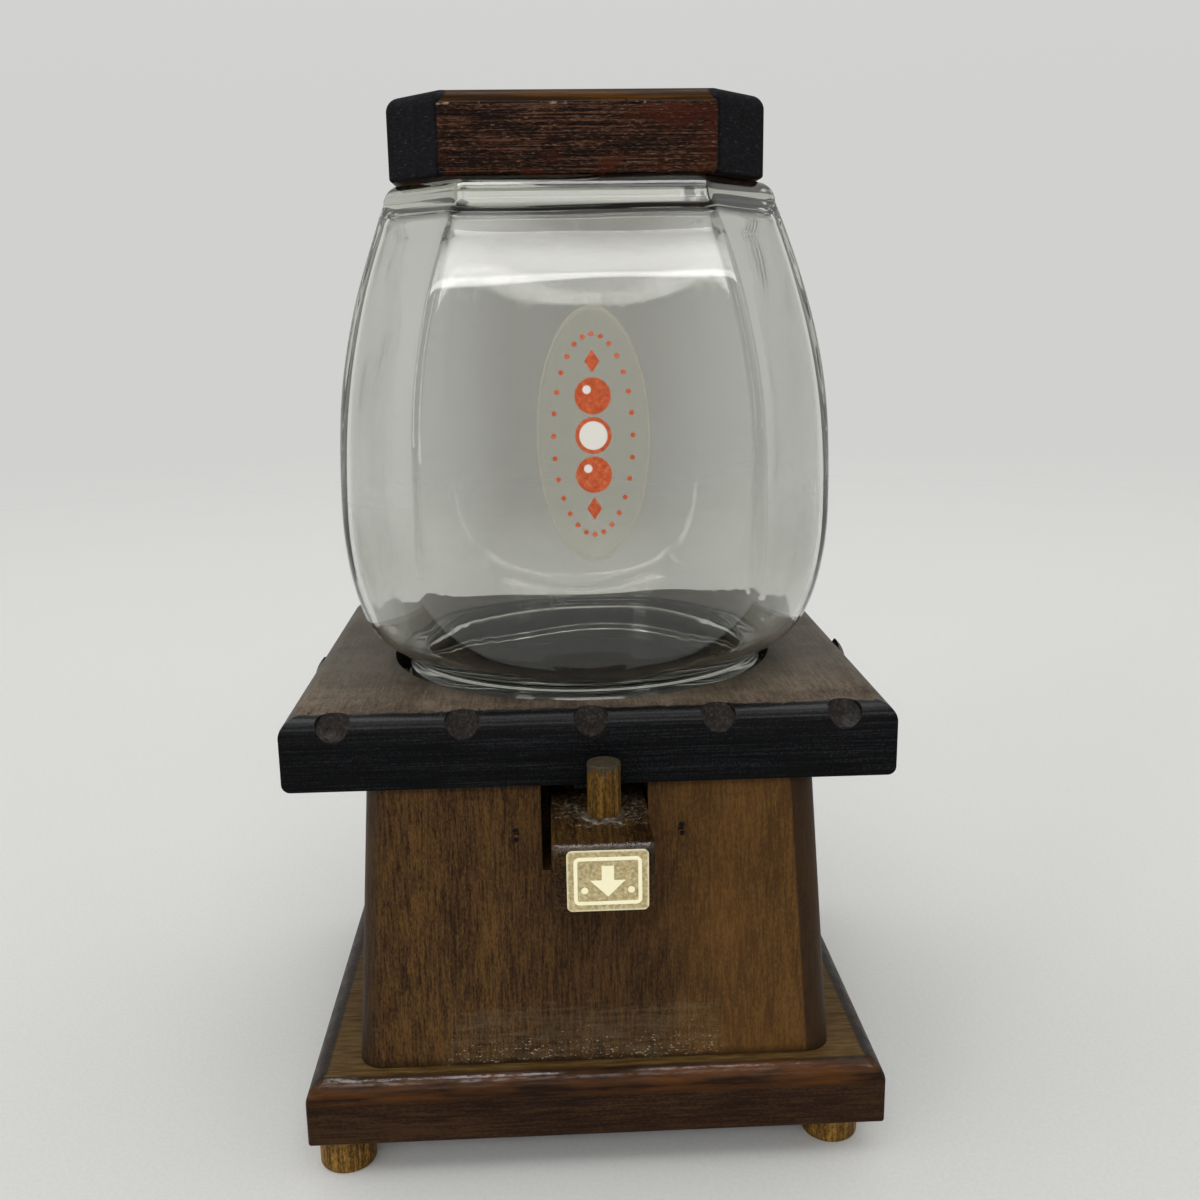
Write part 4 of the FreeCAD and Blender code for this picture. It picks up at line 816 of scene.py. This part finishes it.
def plate_piece(material):
    """Thin plate with a raised frame, and a raised arrow between two studs."""
    field = PLATE_FRONT + PLATE_RELIEF
    bm = bmesh.new()
    raise_faces(bm, [rounded_face(bm, *PLATE_SIZE, 1.3, PLATE_BACK)], PLATE_BACK - field)
    lined = rounded_face(bm, PLATE_SIZE[0] - 3.3, PLATE_SIZE[1] - 3.3, 1.4, field)
    ring = bmesh.ops.inset_individual(bm, faces=[lined], thickness=0.95)["faces"]
    raise_faces(bm, ring, PLATE_RELIEF)
    bmesh.ops.delete(bm, geom=[lined], context="FACES_ONLY")
    outline = ((-1.5, 3.9), (-1.5, 0.2), (-4.3, 0.2), (0.0, -4.1), (4.3, 0.2), (1.5, 0.2), (1.5, 3.9))
    tips = [bm.verts.new((PLATE_CENTRE[0] + x, field, PLATE_CENTRE[1] + z)) for x, z in outline]
    raise_faces(bm, [bm.faces.new(tips)], PLATE_RELIEF)
    for x in (-5.6, 5.6):
        stud = bmesh.ops.create_circle(bm, cap_ends=True, segments=24, radius=0.85)["verts"]
        bmesh.ops.rotate(bm, cent=(0, 0, 0), matrix=Matrix.Rotation(math.pi / 2, 3, "X"), verts=stud)
        bmesh.ops.translate(bm, vec=(PLATE_CENTRE[0] + x, field, PLATE_CENTRE[1] - 2.4), verts=stud)
        raise_faces(bm, stud[0].link_faces[:], PLATE_RELIEF)
    bmesh.ops.recalc_face_normals(bm, faces=bm.faces)
    bmesh.ops.scale(bm, vec=(MM, MM, MM), verts=bm.verts)
    plate = new_piece("embossed_plate", bm, material, "slider", smooth=False)
    soften = plate.modifiers.new("soft_edges", "BEVEL")
    soften.width = 0.06 * MM
    soften.segments = 2
    soften.limit_method = "ANGLE"
    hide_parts("pull_plate")


def glue_piece(material):
    """Uneven ring of squeezed-out glue round the foot of the peg."""
    bm = bmesh.new()
    outline = ((0.0, -0.05), (0.0, 0.7), (0.4, 0.62), (0.9, 0.4), (1.6, 0.22), (2.4, 0.0), (2.4, -0.05))
    chain = [bm.verts.new((PEG_RADIUS + out, 0.0, up)) for out, up in outline]
    edges = [bm.edges.new(pair) for pair in zip(chain, chain[1:])]
    edges.append(bm.edges.new((chain[-1], chain[0])))
    bmesh.ops.spin(bm, geom=chain + edges, cent=(0, 0, 0), axis=(0, 0, 1), angle=2 * math.pi, steps=72,
                   use_merge=True)
    for vert in bm.verts:
        out = math.hypot(vert.co.x, vert.co.y)
        way = Vector((vert.co.x / out, vert.co.y / out, 0.0))
        spread = 0.8 + 0.7 * noise.noise(way * 1.7) + 0.25 * noise.noise(way * 5.0)
        lump = 0.85 + 0.8 * noise.noise(Vector((vert.co.x, vert.co.y, 3.0)) * 0.6)
        reach = PEG_RADIUS + (out - PEG_RADIUS) * max(0.25, spread)
        rise = vert.co.z * max(0.3, lump) if vert.co.z > 0 else vert.co.z
        vert.co = Vector((PEG[0] + way.x * reach, PEG[1] + way.y * reach, SLIDER_TOP + rise)) * MM
    bmesh.ops.recalc_face_normals(bm, faces=bm.faces)
    new_piece("glue_ring", bm, material, "slider")


# Stage: floor, lights and camera

def make_floor(material):
    bm = bmesh.new()
    bmesh.ops.create_grid(bm, x_segments=8, y_segments=8, size=40.0)
    mesh = bpy.data.meshes.new("paper_floor")
    bm.to_mesh(mesh)
    bm.free()
    mesh.materials.append(material)
    floor = bpy.data.objects.new("paper_floor", mesh)
    bpy.context.scene.collection.objects.link(floor)


def make_light(name, place, aim, size, watts):
    data = bpy.data.lights.new(name, "AREA")
    data.shape = "RECTANGLE"
    data.size, data.size_y = size
    data.energy = watts
    lamp = bpy.data.objects.new(name, data)
    lamp.location = place
    lamp.rotation_euler = (Vector(aim) - Vector(place)).to_track_quat("-Z", "Y").to_euler()
    bpy.context.scene.collection.objects.link(lamp)
    return lamp


def make_world():
    # A plain pale room, as the camera sees it and as it shows through glass. What mirrors in the object is
    # brighter to the left and right and dimmer in front. A soft window, brightest along its foot, is high in
    # front, and a light is on the ceiling.
    world = bpy.data.worlds.new("soft_room")
    world.use_nodes = True
    add = partial(add_node, world.node_tree)
    x, y, z = add("SeparateXYZ", {"Vector": add("TexCoord").outputs["Generated"]}).outputs
    aside = add("Math", {0: x}, operation="ABSOLUTE")
    plain = add("MapRange", {"Value": z, "From Min": 0.1, "From Max": 0.7,
                             "To Min": 1.0, "To Max": 1.12}, interpolation_type="SMOOTHSTEP")
    mirrored = plain
    for place, near, far, low, high in ((y, -0.9, 0.0, 0.35, 1.0), (x, -0.95, -0.5, 2.6, 1.0),
                                        (x, 0.5, 0.95, 1.0, 1.9)):
        share = add("MapRange", {"Value": place, "From Min": near, "From Max": far,
                                 "To Min": low, "To Max": high}, interpolation_type="SMOOTHSTEP")
        mirrored = add("Math", {0: mirrored, 1: share}, operation="MULTIPLY")
    rays = add("LightPath")
    seen = add("Math", {0: rays.outputs["Is Camera Ray"], 1: rays.outputs["Is Transmission Ray"]},
               operation="MAXIMUM")
    room = add("Mix", {0: seen, 2: mirrored, 3: plain}, data_type="FLOAT")
    for foot, rise, fall, head, strength in ((0.53, 0.57, 0.59, 0.69, 10.0),
                                             (0.51, 0.525, 0.54, 0.56, 16.0),
                                             (0.8, 0.86, 0.92, 0.97, 5.0)):
        front = add("MapRange", {"Value": y, "From Min": -0.05, "From Max": -0.2, "To Max": strength})
        edges = [add("MapRange", {"Value": place, "From Min": near, "From Max": far},
                     interpolation_type="SMOOTHSTEP")
                 for place, near, far in ((z, foot, rise), (z, head, fall), (aside, 0.4, 0.3))]
        room = add("Math", {0: room, 1: overlap(add, front, *edges)}, operation="ADD")
    sky = world.node_tree.nodes["Background"]
    sky.inputs["Color"].default_value = linear("#D1D1CF")
    wire(sky, Strength=room)
    bpy.context.scene.world = world


def make_camera():
    data = bpy.data.cameras.new("camera")
    data.sensor_width = 36.0
    data.lens = 36.89
    data.clip_start = 0.01
    camera = bpy.data.objects.new("camera", data)
    camera.location = Vector((-10.22, -353.93, 223.38)) * MM
    camera.rotation_euler = Euler([math.radians(turn) for turn in (77.049, 0.847, -2.705)], "XYZ")
    bpy.context.scene.collection.objects.link(camera)
    bpy.context.scene.camera = camera


def dress(material, *names):
    """Gives CAD nodes their finish."""
    for name in names:
        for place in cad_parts[name].material_slots:
            place.material = material


dress(panel_wood(), "front_panel", "back_panel", "side_panel_left", "side_panel_right")
dress(base_wood(), "base_board")
dress(top_wood(), "top_board")
dress(cap_wood(), "jar_cap")
dress(slider_wood(), "slider_bar")
dress(dowel_wood(), "foot_front_left", "foot_front_right", "foot_rear_left", "foot_rear_right", "stop_pin")
dress(peg_wood(), "pull_peg")
dress(inner_wood(), "guide_rail_left", "guide_rail_right", "keeper_left", "keeper_right", "slide_floor")
dress(film_print(), "jar_decal")
dress(screw_steel(), "jar_screw_left", "jar_screw_right", "rail_brads")
dress(plain_steel(), "base_screws", "top_screws")
jar_piece(jar_glass())
plate_piece(foil_plate())
glue_piece(dried_glue())

make_floor(backdrop_paper())
make_world()
make_light("left_strip", (-2.0, -2.0, 1.1), (0.0, 0.0, 0.18), (0.6, 1.8), 14.0)
make_light("right_strip", (2.0, -2.0, 1.1), (0.0, 0.0, 0.18), (0.5, 1.6), 4.8)
# The ceiling's strip shows in the gloss of the rounded edges, and lights nothing else
ceiling_strip = make_light("ceiling_strip", (0.0, 0.1, 1.7), (0.0, 0.0, 0.1), (1.1, 0.9), 23.0)
ceiling_strip.visible_diffuse = False
make_camera()
# Light bounces many times inside the jar's wall
bpy.context.scene.cycles.max_bounces = 24
bpy.context.scene.cycles.glossy_bounces = 16
bpy.context.scene.view_settings.view_transform = "Standard"
